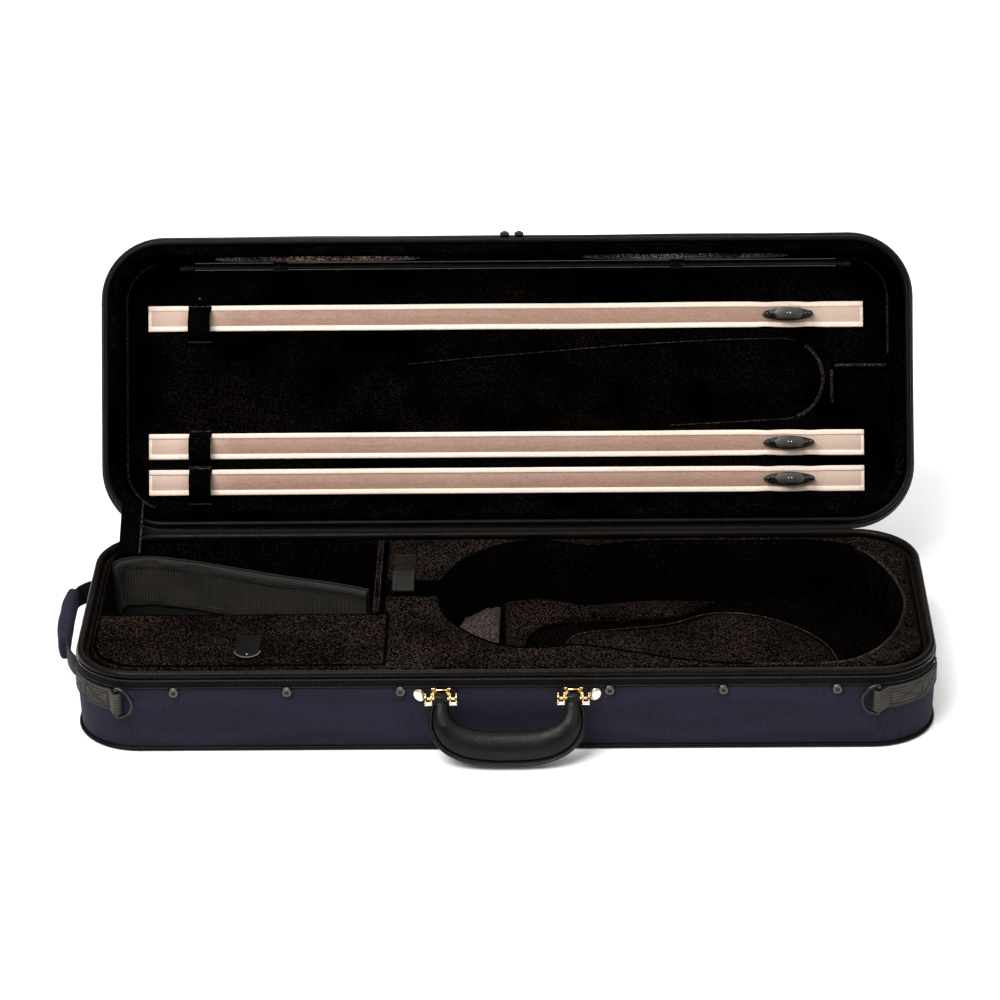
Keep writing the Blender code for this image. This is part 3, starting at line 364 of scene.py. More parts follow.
def piece(name, mesh, materials, body, replaces=(), transform=IDENTITY, ride=True, angle=40):
    """Places a mesh as a finished piece that rides on a body."""
    mesh.transform(transform)
    obj = bpy.data.objects.new(name, mesh)
    bpy.context.scene.collection.objects.link(obj)
    for material in materials if isinstance(materials, (list, tuple)) else [materials]:
        mesh.materials.append(material)
    mesh.shade_smooth()
    mesh.set_sharp_from_angle(angle=math.radians(angle))
    if ride:
        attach(obj, body)
    if replaces:
        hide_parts(*replaces)
    return obj


def loft(rings, capped=True):
    """Quads between rings of equal length, with a face over each end if capped."""
    count = len(rings[0])
    points = [point for ring in rings for point in ring]
    last = len(points) - count
    faces = []
    for row in range(0, last, count):
        for i in range(count):
            j = (i + 1) % count
            faces.append((row + i, row + j, row + count + j, row + count + i))
    if capped:
        faces.append(tuple(range(count))[::-1])
        faces.append(tuple(range(last, last + count)))
    return mesh_of(points, faces)


def curve_points(points, steps, cyclic=False):
    """A Catmull-Rom curve through points."""
    points = [Vector(point) for point in points]
    if cyclic:
        padded = [points[-1], *points, points[0], points[1]]
    else:
        padded = [2 * points[0] - points[1], *points, 2 * points[-1] - points[-2]]
    result = []
    for index in range(1, len(padded) - 2):
        p0, p1, p2, p3 = padded[index - 1 : index + 3]
        for step in range(steps):
            t = step / steps
            result.append((2 * p1 + (p2 - p0) * t + (2 * p0 - 5 * p1 + 4 * p2 - p3) * t**2
                           + (3 * p1 - p0 - 3 * p2 + p3) * t**3) / 2)
    if not cyclic:
        result.append(points[-1].copy())
    return result


def tangents(path, cyclic):
    count = len(path)
    result = []
    for i in range(count):
        before = path[(i - 1) % count] if cyclic else path[max(i - 1, 0)]
        after = path[(i + 1) % count] if cyclic else path[min(i + 1, count - 1)]
        result.append((after - before).normalized())
    return result


def sweep(path, section, up=UP, cyclic=False):
    """A section of (across, up) points along a path: a list, or a function of the share along it."""
    path = [Vector(point) for point in path]
    rings = []
    for i, (point, along) in enumerate(zip(path, tangents(path, cyclic))):
        side = along.cross(up).normalized()
        rise = side.cross(along)
        outline = section(i / max(len(path) - 1, 1)) if callable(section) else section
        rings.append([point + side * a + rise * b for a, b in outline])
    if cyclic:
        return welded(loft([*rings, rings[0]], capped=False))
    return loft(rings)


def round_section(radius, sides=12):
    return [(radius * math.cos(math.tau * i / sides), radius * math.sin(math.tau * i / sides))
            for i in range(sides)]


def band_section(thickness, width, steps=3):
    """A flat band: thickness across, width up, with round edges."""
    radius = thickness / 2
    points = []
    for centre, start in ((width / 2 - radius, 0), (-width / 2 + radius, 180)):
        for step in range(steps + 1):
            angle = math.radians(start + 180 * step / steps)
            points.append((radius * math.cos(angle), centre + radius * math.sin(angle)))
    return points


def case_ring(inset, z, middle_y=0.0):
    """The case's outline at a height, counter-clockwise from the front left."""
    arc_steps, long_steps, short_steps = 14, 40, 12
    half_x = LENGTH / 2 - inset
    half_y = WIDTH / 2 - inset
    radius = CORNER - inset
    straight_x = LENGTH / 2 - CORNER
    straight_y = WIDTH / 2 - CORNER
    ring = []
    sides = [
        ((-straight_x, -half_y), (straight_x, -half_y), long_steps, (straight_x, -straight_y), -90),
        ((half_x, -straight_y), (half_x, straight_y), short_steps, (straight_x, straight_y), 0),
        ((straight_x, half_y), (-straight_x, half_y), long_steps, (-straight_x, straight_y), 90),
        ((-half_x, straight_y), (-half_x, -straight_y), short_steps, (-straight_x, -straight_y), 180),
    ]
    for start, end, steps, centre, angle in sides:
        for step in range(steps):
            t = step / steps
            x, y = (a + (b - a) * t for a, b in zip(start, end))
            ring.append(Vector((x, middle_y + y, z)))
        for step in range(arc_steps):
            turn = math.radians(angle + 90 * step / arc_steps)
            x, y = centre[0] + radius * math.cos(turn), centre[1] + radius * math.sin(turn)
            ring.append(Vector((x, middle_y + y, z)))
    return ring


def tray(profile, middle_y=0.0):
    """A tray from (inset, z) points: outer wall and edge first, then the inner wall."""
    return loft([case_ring(inset, z, middle_y) for inset, z in profile])


def cover_profile(edge, rim, band, puff):
    """The canvas cover: from its inner floor up to the rim and down the outside, round the edge."""
    up = 1 if rim > edge else -1
    wall, round_edge = 0.0015, 0.006
    profile = [(COVER_INSET + round_edge, edge + up * wall), (COVER_INSET + wall, edge + up * round_edge)]
    profile += [(COVER_INSET + wall, rim), (COVER_INSET, rim)]
    for step in range(9):
        t = step / 8
        z = band + (edge + up * round_edge - band) * t
        profile.append((COVER_INSET - puff * math.sin(math.pi * t), z))
    for step in range(1, 6):
        angle = math.radians(90 * step / 5)
        inset = COVER_INSET + round_edge * (1 - math.cos(angle))
        profile.append((inset, edge + up * round_edge * (1 - math.sin(angle))))
    return profile


def push(mesh, shift):
    """Moves every point by shift(point, normal). All are read first: Blender redoes normals after a move."""
    count = len(mesh.vertices)
    points = np.empty(count * 3, np.float32)
    normals = np.empty(count * 3, np.float32)
    mesh.vertices.foreach_get("co", points)
    mesh.vertex_normals.foreach_get("vector", normals)
    points = points.reshape(-1, 3)
    for index, (point, normal) in enumerate(zip(points.tolist(), normals.reshape(-1, 3).tolist())):
        points[index] += shift(Vector(point), Vector(normal))
    mesh.vertices.foreach_set("co", points.ravel())
    mesh.update()
    return mesh


def waved(mesh, amount, scale, seed=0.0):
    """Moves points a little along their normals by smooth noise."""
    offset = Vector((seed, seed * 0.7, seed * 1.3))
    return push(mesh, lambda point, normal: normal * amount * noise.noise(point * scale + offset))


def along_path(path, spacing, cyclic=False, start=0.0):
    """Evenly spaced (point, tangent) pairs on a path."""
    path = [Vector(point) for point in path]
    if cyclic:
        path = path + [path[0]]
    result = []
    need = start
    for a, b in zip(path, path[1:]):
        length = (b - a).length
        while need <= length and length > 0:
            result.append((a.lerp(b, need / length), (b - a) / length))
            need += spacing
        need -= length
    return result


def scattered(shape, places):
    """Copies of a small (points, faces) shape: its X lies on each tangent and its Z on the given normal."""
    points, faces = [], []
    for point, along, normal in places:
        side = normal.cross(along).normalized()
        rise = along.cross(side)
        base = len(points)
        points += [point + along * x + side * y + rise * z for x, y, z in shape[0]]
        faces += [tuple(base + i for i in face) for face in shape[1]]
    return mesh_of(points, faces)


def stitch_shape(length, radius):
    """A short thread, thicker in its middle."""
    points = [(-length / 2, 0, 0)]
    for x, scale in ((-length * 0.3, 0.85), (0, 1.0), (length * 0.3, 0.85)):
        reach = radius * scale
        points += [(x, reach * math.cos(a), reach * math.sin(a)) for a in (0.785, 2.356, 3.927, 5.498)]
    points.append((length / 2, 0, 0))
    faces = []
    for i in range(4):
        j = (i + 1) % 4
        faces += [(0, 1 + i, 1 + j), (1 + i, 1 + j, 5 + j, 5 + i)]
        faces += [(5 + i, 5 + j, 9 + j, 9 + i), (13, 9 + j, 9 + i)]
    return points, faces


def box_shape(x, y, z):
    """A small block with cut corners."""
    cut = min(x, y) * 0.3
    outline = [(-x / 2 + cut, -y / 2), (x / 2 - cut, -y / 2), (x / 2, -y / 2 + cut), (x / 2, y / 2 - cut),
               (x / 2 - cut, y / 2), (-x / 2 + cut, y / 2), (-x / 2, y / 2 - cut), (-x / 2, -y / 2 + cut)]
    points = [(a, b, -z / 2) for a, b in outline] + [(a * 0.8, b * 0.8, z / 2) for a, b in outline]
    faces = [tuple(range(8))[::-1], tuple(range(8, 16))]
    faces += [(i, (i + 1) % 8, 8 + (i + 1) % 8, 8 + i) for i in range(8)]
    return points, faces


def stitches(path, normal, spacing, length, radius, cyclic=False):
    """A row of stitches. normal is a vector, or a function of the point."""
    places = []
    for point, along in along_path(path, spacing, cyclic, spacing / 2):
        face = normal(point) if callable(normal) else Vector(normal)
        places.append((point, along, face))
    return scattered(stitch_shape(length, radius), places)


def cad_copy(node):
    return NODES[node].data.copy()


def modified(mesh, *modifiers):
    """The mesh after modifiers of (type, settings)."""
    helper = bpy.data.objects.new("helper", mesh)
    bpy.context.scene.collection.objects.link(helper)
    for kind, settings in modifiers:
        modifier = helper.modifiers.new(kind.lower(), kind)
        for key, value in settings.items():
            setattr(modifier, key, value)
    bpy.context.view_layer.update()
    result = bpy.data.meshes.new_from_object(helper.evaluated_get(bpy.context.evaluated_depsgraph_get()))
    bpy.data.objects.remove(helper, do_unlink=True)
    result.materials.clear()
    return result


def softened(mesh, voxel, rounds):
    """Remeshed in small even quads, with its edges worn round."""
    return modified(
        welded(mesh),
        ("REMESH", {"mode": "VOXEL", "voxel_size": voxel, "adaptivity": 0.0}),
        ("SMOOTH", {"factor": 0.5, "iterations": rounds}),
    )


def bevelled(mesh, width, segments=3):
    sharpest = math.radians(35)
    settings = {"width": width, "segments": segments, "limit_method": "ANGLE", "angle_limit": sharpest}
    return modified(welded(mesh), ("BEVEL", settings))


def smoothed(mesh):
    """The mesh with one level of subdivision."""
    return modified(mesh, ("SUBSURF", {"levels": 1, "render_levels": 1}))


def inflated(name, mesh, voxel, cap):
    """A stuffed pad: cloth blown up from the mesh, each point moved no further than cap."""
    pressure, frames = 4.0, 20
    mesh = modified(welded(mesh), ("REMESH", {"mode": "VOXEL", "voxel_size": voxel, "adaptivity": 0.0}))
    obj = bpy.data.objects.new(name, mesh)
    bpy.context.scene.collection.objects.link(obj)
    rest = np.array([vertex.co for vertex in mesh.vertices])
    cloth = obj.modifiers.new("cloth", "CLOTH")
    cloth.settings.use_pressure = True
    cloth.settings.uniform_pressure_force = pressure
    cloth.settings.effector_weights.gravity = 0
    cloth.settings.tension_stiffness = 20
    cloth.settings.bending_stiffness = 1.0
    cloth.point_cache.frame_end = frames
    scene = bpy.context.scene
    for number in range(1, frames + 1):
        scene.frame_set(number)
    swollen = bpy.data.meshes.new_from_object(obj.evaluated_get(bpy.context.evaluated_depsgraph_get()))
    moved = np.array([vertex.co for vertex in swollen.vertices]) - rest
    far = np.linalg.norm(moved, axis=1, keepdims=True)
    placed = rest + moved * np.minimum(1, cap / np.maximum(far, 1e-9))
    swollen.vertices.foreach_set("co", placed.astype(np.float32).ravel())
    bpy.data.objects.remove(obj, do_unlink=True)
    scene.frame_set(1)
    return smoothed(modified(swollen, ("SMOOTH", {"factor": 0.5, "iterations": 2})))


# Outer shell -----------------------------------------------------------------------------------


def out_of_case(point, middle_y=0.0):
    """The direction straight out of the case's outline at a point in plan."""
    x = point.x - max(-LENGTH / 2 + CORNER, min(LENGTH / 2 - CORNER, point.x))
    y = (point.y - middle_y) - max(-WIDTH / 2 + CORNER, min(WIDTH / 2 - CORNER, point.y - middle_y))
    return Vector((x, y, 0)).normalized()


def build_rims():
    """Canvas covers, piping, zip bands with their teeth and stitching, for the base and the lid.

    Each part has its middle in Y, the height of its closed edge, its zip band's two heights, its canvas's
    bulge, and its rim piping's inset, height and radius. up points from the closed edge to the rim.
    """
    for part, matrix, middle, edge, (low, high), puff, (inset, welt_z, radius), vinyl, edge_welt in (
        ("base", IDENTITY, 0.0, 0.0, (0.0645, 0.0735), 0.0010, (0.0040, 0.0775, 0.0037), PIPING,
         "base_bottom_welt"),
        ("lid", LID, LID_MIDDLE, LID_HEIGHT, (0.0168, 0.0078), 0.0050, (0.0046, 0.0038, 0.0027), LID_PIPING,
         "lid_top_welt"),
    ):
        up = 1 if part == "base" else -1

        def outward(point, middle=middle):
            return out_of_case(point, middle)

        cover = waved(tray(cover_profile(edge, high, low, puff), middle), 0.0007, 9, 3.0)
        piece(f"{part}_canvas", cover, NAVY, part, [f"{part}_cover"], matrix)

        welt = sweep(case_ring(inset, welt_z, middle), round_section(radius, 14), UP, True)
        welt = waved(welt, 0.0003, 45, 1.0)
        piece(f"{part}_rim_piping", welt, vinyl, part, [f"{part}_rim_welt"], matrix)
        crease = [point - UP * up * 0.0040 for point in case_ring(0.0008, welt_z, middle)]
        row = stitches(crease, outward, 0.0034, 0.0024, 0.00032, True)
        piece(f"{part}_rim_stitching", row, THREAD, part, (), matrix)

        line = case_ring(0.0007, edge + up * 0.0026, middle)
        edge_piping = sweep(line, round_section(0.0019, 10), UP, True)
        piece(f"{part}_edge_piping", edge_piping, LID_PIPING, part, [edge_welt], matrix)

        profile = [(0.0012, low), (0.0003, low), (0.0, low + up * 0.0005)]
        for groove in (0.30, 0.52, 0.74):
            z = low + (high - low) * groove
            profile += [(0.0, z - up * 0.0004), (0.00045, z), (0.0, z + up * 0.0004)]
        profile += [(0.0, high - up * 0.0005), (0.0005, high), (0.0012, high)]
        band = loft([case_ring(depth, z, middle) for depth, z in [*profile, profile[0]]], capped=False)
        piece(f"{part}_zip_band", welded(band), TAPE, part, [f"{part}_zip_tape"], matrix)

        line = case_ring(0.0002, high + up * 0.0001, middle)
        places = [(p, t, outward(p)) for p, t in along_path(line, 0.0026, True)]
        teeth = scattered(box_shape(0.0014, 0.0017, 0.0011), places)
        piece(f"{part}_zip_teeth", teeth, BLACK_PLASTIC, part, (), matrix)
        row = stitches(case_ring(-0.00005, low + up * 0.0016, middle), outward, 0.0030, 0.0021, 0.00028, True)
        piece(f"{part}_zip_stitching", row, PALE_THREAD, part, (), matrix)


# Velour interior -------------------------------------------------------------------------------


def edge_paths(node, height, matrix=IDENTITY, most=0.0):
    """The rims longer than most where a level face of a CAD node at this height meets a wall, all closed."""
    work = bmesh.new()
    work.from_mesh(cad_copy(node))
    bmesh.ops.transform(work, matrix=matrix.inverted(), verts=work.verts)
    bmesh.ops.remove_doubles(work, verts=work.verts, dist=1e-6)
    links = {}
    for edge in work.edges:
        if len(edge.link_faces) != 2 or max(abs(vertex.co.z - height) for vertex in edge.verts) > 0.0003:
            continue
        level = sorted(abs(face.normal.z) for face in edge.link_faces)
        if level[0] < 0.5 < 0.9 < level[1]:
            for a, b in (edge.verts, reversed(edge.verts)):
                links.setdefault(a.index, []).append(b.index)
    places = {vertex.index: vertex.co.copy() for vertex in work.verts}
    work.free()
    paths = []
    while links:
        current = next(iter(links))
        path = []
        while current in links:
            path.append(places[current])
            following = [other for other in links.pop(current) if other in links]
            if not following:
                break
            current = following[0]
        if len(path) > 3 and sum((a - b).length for a, b in zip(path, path[1:])) > most:
            paths.append(path)
    return paths


def evened(path, spacing=0.003):
    """The closed path with evenly spaced points, and its corners eased."""
    points = [point for point, _ in along_path(path, spacing, True)]
    for _ in range(2):
        following = points[1:] + points[:1]
        points = [(points[i - 1] + point * 2 + following[i]) / 4 for i, point in enumerate(points)]
    return points


def stretches(path, test, least=6):
    """The runs of a closed path whose points pass the test."""
    runs, run = [], []
    count = len(path)
    start = next((i for i in range(count) if not test(path[i])), 0)
    for i in range(count + 1):
        point = path[(start + i) % count]
        if test(point) and i < count:
            run.append(point)
        else:
            if len(run) >= least:
                runs.append(run)
            run = []
    return runs


def insert_relief(point, normal):
    """A turned-down outer rim, folds on the cavity's right end wall, a pucker in its rim, and unevenness."""
    folds_from, folds_bottom, folds_top = 0.300, 0.014, 0.076
    rim_from, pucker_x, pucker_y = 0.060, 0.371, -0.009
    move = normal * (0.0005 * noise.noise(point * 28))
    upright = abs(normal.z) < 0.75
    if upright and point.x > folds_from and abs(point.y) < 0.11 and folds_bottom < point.z < folds_top:
        strength = min((point.x - folds_from) / 0.03, 1) * min((folds_top - point.z) / 0.012, 1)
        folds = noise.noise(Vector((point.y * 85 + 2.5 * noise.noise(point * 20), point.z * 20, 4.0)))
        folds = 1 - 2.6 * abs(folds) + 0.5 * noise.noise(Vector((point.y * 190, point.z * 60, 9.0)))
        move += normal * (0.0040 * strength * folds)
    if point.z > rim_from:
        x = abs(point.x) - (LENGTH / 2 - CORNER)
        y = abs(point.y) - (WIDTH / 2 - CORNER)
        inset = CORNER - math.hypot(max(x, 0), max(y, 0)) if x > 0 and y > 0 else CORNER - max(x, y)
        turn = max(1 - (inset - 0.0114) / 0.0050, 0.0)
        if turn > 0:
            move += Vector((0, 0, -0.0065 * turn**1.5))
        pucker = max(1 - abs(point.y - pucker_y) / 0.0055, 0) * max(1 - abs(point.x - pucker_x) / 0.009, 0)
        move += Vector((0.001, 0, -0.0055)) * pucker
    return move


def build_insert():
    """The velour block with its cavity and wells, the accessory box and the thin wall."""
    insert = push(softened(cad_copy("suspension_insert"), 0.0021, 6), insert_relief)
    piece("velour_insert", insert, INSERT_VELOUR, "base", ["suspension_insert"], angle=180)
    box = bevelled(cad_copy("accessory_box"), 0.0008, 2)
    piece("accessory_well", box, INSERT_VELOUR, "base", ["accessory_box"])
    wall = softened(cad_copy("compartment_partition"), 0.0012, 3)
    piece("partition_wall", wall, VELOUR, "base", ["compartment_partition"], angle=180)


def build_edge_rolls():
    """The rolled velour edge round the cavity: lit velour as painted highlight where light catches it, and
    near-black rolls as painted shade round the wells and the rest of the rim; with painted highlight lines on
    the partition's top edges.
    """
    outer_rim, lit_from, lit_up_to = 0.382, 0.225, 0.104
    lit, seams = [], []
    for path in edge_paths("suspension_insert", INSERT_TOP, IDENTITY, 0.3):
        if max(point.x for point in path) > outer_rim:
            continue
        path = evened(path)
        # Painted highlight where light catches the rim; painted shade, a near-black roll, everywhere else.
        for run in stretches(path, lambda point: point.x > lit_from and point.y < lit_up_to):
            lit.append(sweep([point - UP * 0.0008 for point in run],
                             lambda t: round_section(0.0005 + 0.0011 * math.sin(math.pi * t) ** 0.5, 8)))
        # Painted shade: near-black rolls where the rim is in shade.
        for run in stretches(path, lambda point: point.x <= lit_from or point.y >= lit_up_to):
            seams.append(sweep([point - UP * 0.0006 for point in run], round_section(0.0010, 8)))
    piece("cavity_edge_roll", merged(lit), VELOUR_HIGHLIGHT, "base")
    piece("well_edge_painted_shade", merged(seams), BLACK_VELOUR, "base")
    # Painted highlights: thin lines of lit velour along the partition's top edges.
    low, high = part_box("compartment_partition")
    ys = np.linspace(low.y + 0.001, high.y - 0.001, 24)
    thread = round_section(0.0004, 8)
    lines = [sweep([Vector((x, y, high.z - 0.0004)) for y in ys], thread) for x in (low.x, high.x)]
    piece("partition_edges", merged(lines), VELOUR_HIGHLIGHT, "base")


def build_cushions():
    """The three stuffed pads on the cavity's floor, the ramp pad in paler velour as painted light, and the
    ridge round the lower one in lit velour, a painted highlight.
    """
    for name, node, material, cap in (
        # The ramp pad's paler velour is painted light.
        ("ramp_cushion", "neck_ramp_cushion", LIT_RAMP_VELOUR, 0.0030),
        ("upper_cushion", "upper_bout_cushion", VELOUR, 0.0035),
        ("lower_cushion", "lower_bout_cushion", VELOUR, 0.0050),
    ):
        mesh = inflated(name + "_cloth", cad_copy(node), 0.0034, cap)
        piece(name, mesh, material, "base", [node], angle=180)
    low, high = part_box("lower_bout_cushion")
    middle = (low + high) / 2
    middle.z = high.z
    # Painted highlight: a lit velour roll along the lit part of the lower pad's rim.
    for path in edge_paths("lower_bout_cushion", high.z):
        ridge = []
        for run in stretches(evened(path), lambda point: point.x > -0.02 and point.y > -0.075):
            line = [middle + (p - middle) * 0.965 + UP * 0.0009 for p in run]
            ridge.append(sweep(line, round_section(0.0007, 8)))
        if ridge:
            piece("cushion_ridge", merged(ridge), VELOUR_HIGHLIGHT, "base")


def build_accessory_lid():
    """The small velour lid with its seam, and its leather tab with a pale cut edge and a rivet."""
    panel = softened(cad_copy("accessory_lid"), 0.0014, 3)
    push(panel, lambda p, n: n * (0.0004 * noise.noise(p * 30)))
    piece("accessory_panel", panel, VELOUR, "accessory_lid", ["accessory_lid"], angle=180)
    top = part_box("accessory_lid")[1].z
    seams = [sweep([p - UP * 0.0009 for p in evened(path)], round_section(0.0012, 8), UP, True)
             for path in edge_paths("accessory_lid", top)]
    piece("accessory_panel_seam", merged(seams), BLACK_VELOUR, "accessory_lid")
    low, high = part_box("accessory_pull_tab")
    half = (high.x - low.x) / 2
    middle = (low.x + high.x) / 2
    outline = [Vector((middle + half * math.cos(a), low.y + half + half * math.sin(a), 0))
               for a in (math.radians(180 + 12 * i) for i in range(16))]
    outline += [Vector((middle + half, high.y, 0)), Vector((middle - half, high.y, 0))]
    centre = Vector((middle, (low.y + high.y) / 2, 0))
    rings = []
    for shrink, z in ((0.97, low.z), (1.0, low.z + 0.0004), (1.0, low.z + 0.0012), (0.95, high.z - 0.0001),
                      (0.90, high.z - 0.0003), (0.86, high.z - 0.0003)):
        rings.append([centre + (point - centre) * shrink + UP * z for point in outline])
    piece("pull_tab_leather", loft(rings), TAB_LEATHER, "accessory_lid", ["accessory_pull_tab"])
    edge = [centre + (point - centre) * 0.965 + UP * (high.z - 0.0001) for point in outline[:16]]
    rim = sweep(edge, round_section(0.0006, 8))
    piece("pull_tab_edge", rim, EDGE_TRIM, "accessory_lid")
    rivet = scattered(box_shape(0.0034, 0.0034, 0.0012), [
        (Vector((middle, low.y + 0.0060, high.z + 0.0002)), ACROSS, UP)])
    piece("pull_tab_rivet", bevelled(rivet, 0.0004, 2), NICKEL, "accessory_lid")


def build_neck_strap():
    """A suede root sewn to the insert, and the leather tongue that folds over the neck channel."""
    low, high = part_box("neck_strap_root")
    middle = (low.x + high.x) / 2
    width = high.x - low.x
    path = [Vector((middle, y, (low.z + high.z) / 2)) for y in np.linspace(low.y, high.y, 13)]
    root = sweep(path, band_section(0.0018, width), ACROSS)
    piece("neck_strap_base", waved(root, 0.0003, 60), SUEDE, "base", ["neck_strap_root"])
    rows = []
    for y in (low.y + 0.0030, high.y - 0.0030):
        line = [Vector((middle - width * 0.42, y, high.z)), Vector((middle + width * 0.42, y, high.z))]
        rows.append(stitches(line, UP, 0.0024, 0.0017, 0.0003))
    piece("neck_strap_base_stitching", merged(rows), PALE_THREAD, "base")

    low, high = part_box("neck_strap")
    pivot = Vector(JOINTS["neck_strap_fold"]["pos_m"])
    drops = [(0, 0, 0.0001), (0, -0.006, 0.0011), (0, -0.015, 0.0018),
             (0, -0.024, 0.0014), (0, -0.033, 0.0008), (0, -0.0395, -0.0006)]
    foot = Vector((middle, pivot.y, pivot.z))
    path = [foot + p for p in curve_points(drops, 4)]
    tongue = sweep(path, band_section(0.0020, width), ACROSS)
    piece("neck_strap_tongue", tongue, STRAP_LEATHER, "neck_strap", ["neck_strap"])
    rows = []
    for x in (middle - width * 0.40, middle + width * 0.40):
        line = [Vector((x, point.y, point.z + 0.0010)) for point in path[1:-1]]
        rows.append(stitches(line, UP, 0.0026, 0.0018, 0.0003))
    piece("neck_strap_stitching", merged(rows), PALE_THREAD, "neck_strap")


def build_shoulder_strap():
    """A standing folded strap: ribbed band, bindings along its edges and the folds behind and under it."""
    plan = curve_points([
        (-0.3760, 0.0720, 0), (-0.3735, 0.0830, 0), (-0.3620, 0.0905, 0), (-0.335, 0.0910, 0),
        (-0.288, 0.0770, 0), (-0.225, 0.0540, 0), (-0.165, 0.0350, 0), (-0.131, 0.0215, 0),
    ], 12)
    sides = tangents(plan, False)
    count = len(plan)

    def layer(offset, low, high, thickness, sway, start=0.0, end=1.0):
        """A band between two heights, offset from the plan, over a share of its length."""
        rings = []
        for i in range(int(start * (count - 1)), int(end * (count - 1)) + 1):
            t = i / (count - 1)
            side = Vector((-sides[i].y, sides[i].x, 0))
            dent = 0.0032 * (math.exp(-((t - 0.40) / 0.03) ** 2) + math.exp(-((t - 0.55) / 0.03) ** 2))
            ring = []
            for a, b in band_section(thickness, high - low, 4):
                z = (low + high) / 2 + b
                rise = (z - low) / (high - low)
                lean = 0.0016 * (rise - 0.5) + dent * math.sin(math.pi * rise) * sway
                lean += 0.0007 * noise.noise(Vector((t * 11, rise * 3, offset * 900))) * sway
                ring.append(plan[i] + side * (a + offset + lean) + UP * z)
            rings.append(ring)
        return loft(rings)

    body = "shoulder_strap"
    main = smoothed(layer(-0.0024, 0.0300, 0.0775, 0.0038, 1.0))
    piece("strap_band", main, STRAP_WEBBING, body, ["shoulder_strap"])
    behind = layer(0.0021, 0.0240, 0.0788, 0.0034, 0.6)
    under = layer(-0.0010, 0.0125, 0.0290, 0.0042, 0.5, 0.02, 0.98)
    piece("strap_folds", merged([behind, under]), BLACK_WEBBING, body)
    top = layer(-0.0025, 0.0710, 0.0784, 0.0050, 1.0, 0.05)
    bottom = layer(-0.0025, 0.0296, 0.0362, 0.0050, 1.0, 0.05)
    end = layer(-0.0024, 0.0296, 0.0784, 0.0048, 1.0, 0.0, 0.03)
    piece("strap_bindings", merged([top, bottom, end]), BINDING, body)
    rows = []
    for z in (0.0716, 0.0356):
        line = [plan[i] + Vector((sides[i].y, -sides[i].x, 0)) * 0.0054 + UP * z for i in range(4, count)]
        rows.append(stitches(line, Vector((-0.3, -1, 0)).normalized(), 0.0030, 0.0021, 0.0003))
    for i in (3, 6, 9, 13, 18, 24):
        foot = plan[i] + Vector((sides[i].y, -sides[i].x, 0)) * 0.0050
        arch = [foot + UP * (0.034 + 0.040 * t) + sides[i] * (0.004 * math.sin(math.pi * t))
                for t in (k / 10 for k in range(11))]
        rows.append(stitches(arch, Vector((-0.2, -1, 0)).normalized(), 0.0028, 0.0020, 0.0003))
    piece("strap_stitching", merged(rows), PALE_THREAD, body)


# Front fittings --------------------------------------------------------------------------------


def handle_outline():
    """The handle's centre line and half width, in its own plane: across, and down from the pins."""
    half = [(0.0600, 0.0030, 0.0060), (0.0603, 0.0080, 0.0076), (0.0605, 0.0168, 0.0100),
            (0.0575, 0.0267, 0.0125), (0.0490, 0.0363, 0.0145), (0.0336, 0.0427, 0.0152),
            (0.0160, 0.0450, 0.0154)]
    points = [(-x, down, width) for x, down, width in half]
    points += [(0.0, 0.0452, 0.0155)]
    points += [(x, down, width) for x, down, width in reversed(half)]
    return points


def build_handle():
    """Padded leather grip with a stitched flange round its outer edge, and leather eyes on the pins."""
    points = handle_outline()
    path = curve_points([(x, 0, -down) for x, down, _ in points], 6)
    widths = [p.x for p in curve_points([(width, 0, 0) for _, _, width in points], 6)]
    rings, rim = [], []
    flange_lines = [[], []]
    seam_lines = [[], []]
    front = Vector((0, -1, 0))
    for i, (point, along) in enumerate(zip(path, tangents(path, False))):
        outward = along.cross(front).normalized()
        half = widths[i]
        grip = min(max((half - 0.0062) / 0.006, 0.0), 1.0)
        thick = 0.0026 + 0.0040 * grip
        share = 0.70 if grip > 0.15 else 0.80
        centre = (share - 1) / 2
        reach = (share + 1) / 2
        ring = []
        for side in (1, -1):
            for k in range(15):
                s = side * (-1 + 2 * k / 14)
                inside = max(1 - ((s - centre) / reach) ** 2, 0.0)
                height = max(thick * inside**0.55, 0.0011 if s > 0 else 0.0)
                if abs(s) == 1:
                    height *= 0.5
                ring.append(point + outward * (half * s) + front * (height * side))
        rings.append(ring)
        if grip > 0.1:
            for side, flange, seam in zip((1, -1), flange_lines, seam_lines):
                flange.append(point + outward * (half * 0.88) + front * (0.0014 * side))
                seam.append(point + outward * (half * 0.735) + front * (0.0013 * side))
            rim.append(point + outward * (half * 0.985))
    pad = smoothed(loft(rings))
    eyes = []
    for sign in (-1, 1):
        ring_path = [Vector((sign * HANDLE_HALF, 0.0036 * math.cos(a), 0.0036 * math.sin(a)))
                     for a in (math.tau * i / 20 for i in range(20))]
        eyes.append(sweep(ring_path, band_section(0.0020, 0.0118), ACROSS, True))
    body = "carry_handle"
    grip = merged([pad, *eyes])
    obj = piece("handle_grip", grip, LEATHER, body, ["carry_handle"], HANDLE, angle=70)
    piece("handle_edge", sweep(rim, round_section(0.0012, 8), front), LEATHER, body, (), HANDLE)
    groove = [sweep(line, round_section(0.0007, 8), front) for line in seam_lines]
    piece("handle_seam", merged(groove), BLACK_VELOUR, body, (), HANDLE)
    rows = [stitches(line, front * side, 0.0032, 0.0022, 0.00035)
            for line, side in zip(flange_lines, (1, -1))]
    piece("handle_stitching", merged(rows), THREAD, body, (), HANDLE)


def corner_point(sign, turn, offset, z):
    """A point on a front corner, turn degrees round from the front face, offset out of the case."""
    angle = math.radians(-90 + sign * turn)
    centre = Vector((sign * (LENGTH / 2 - CORNER), -WIDTH / 2 + CORNER, z))
    return centre + Vector((math.cos(angle), math.sin(angle), 0)) * (CORNER + offset)


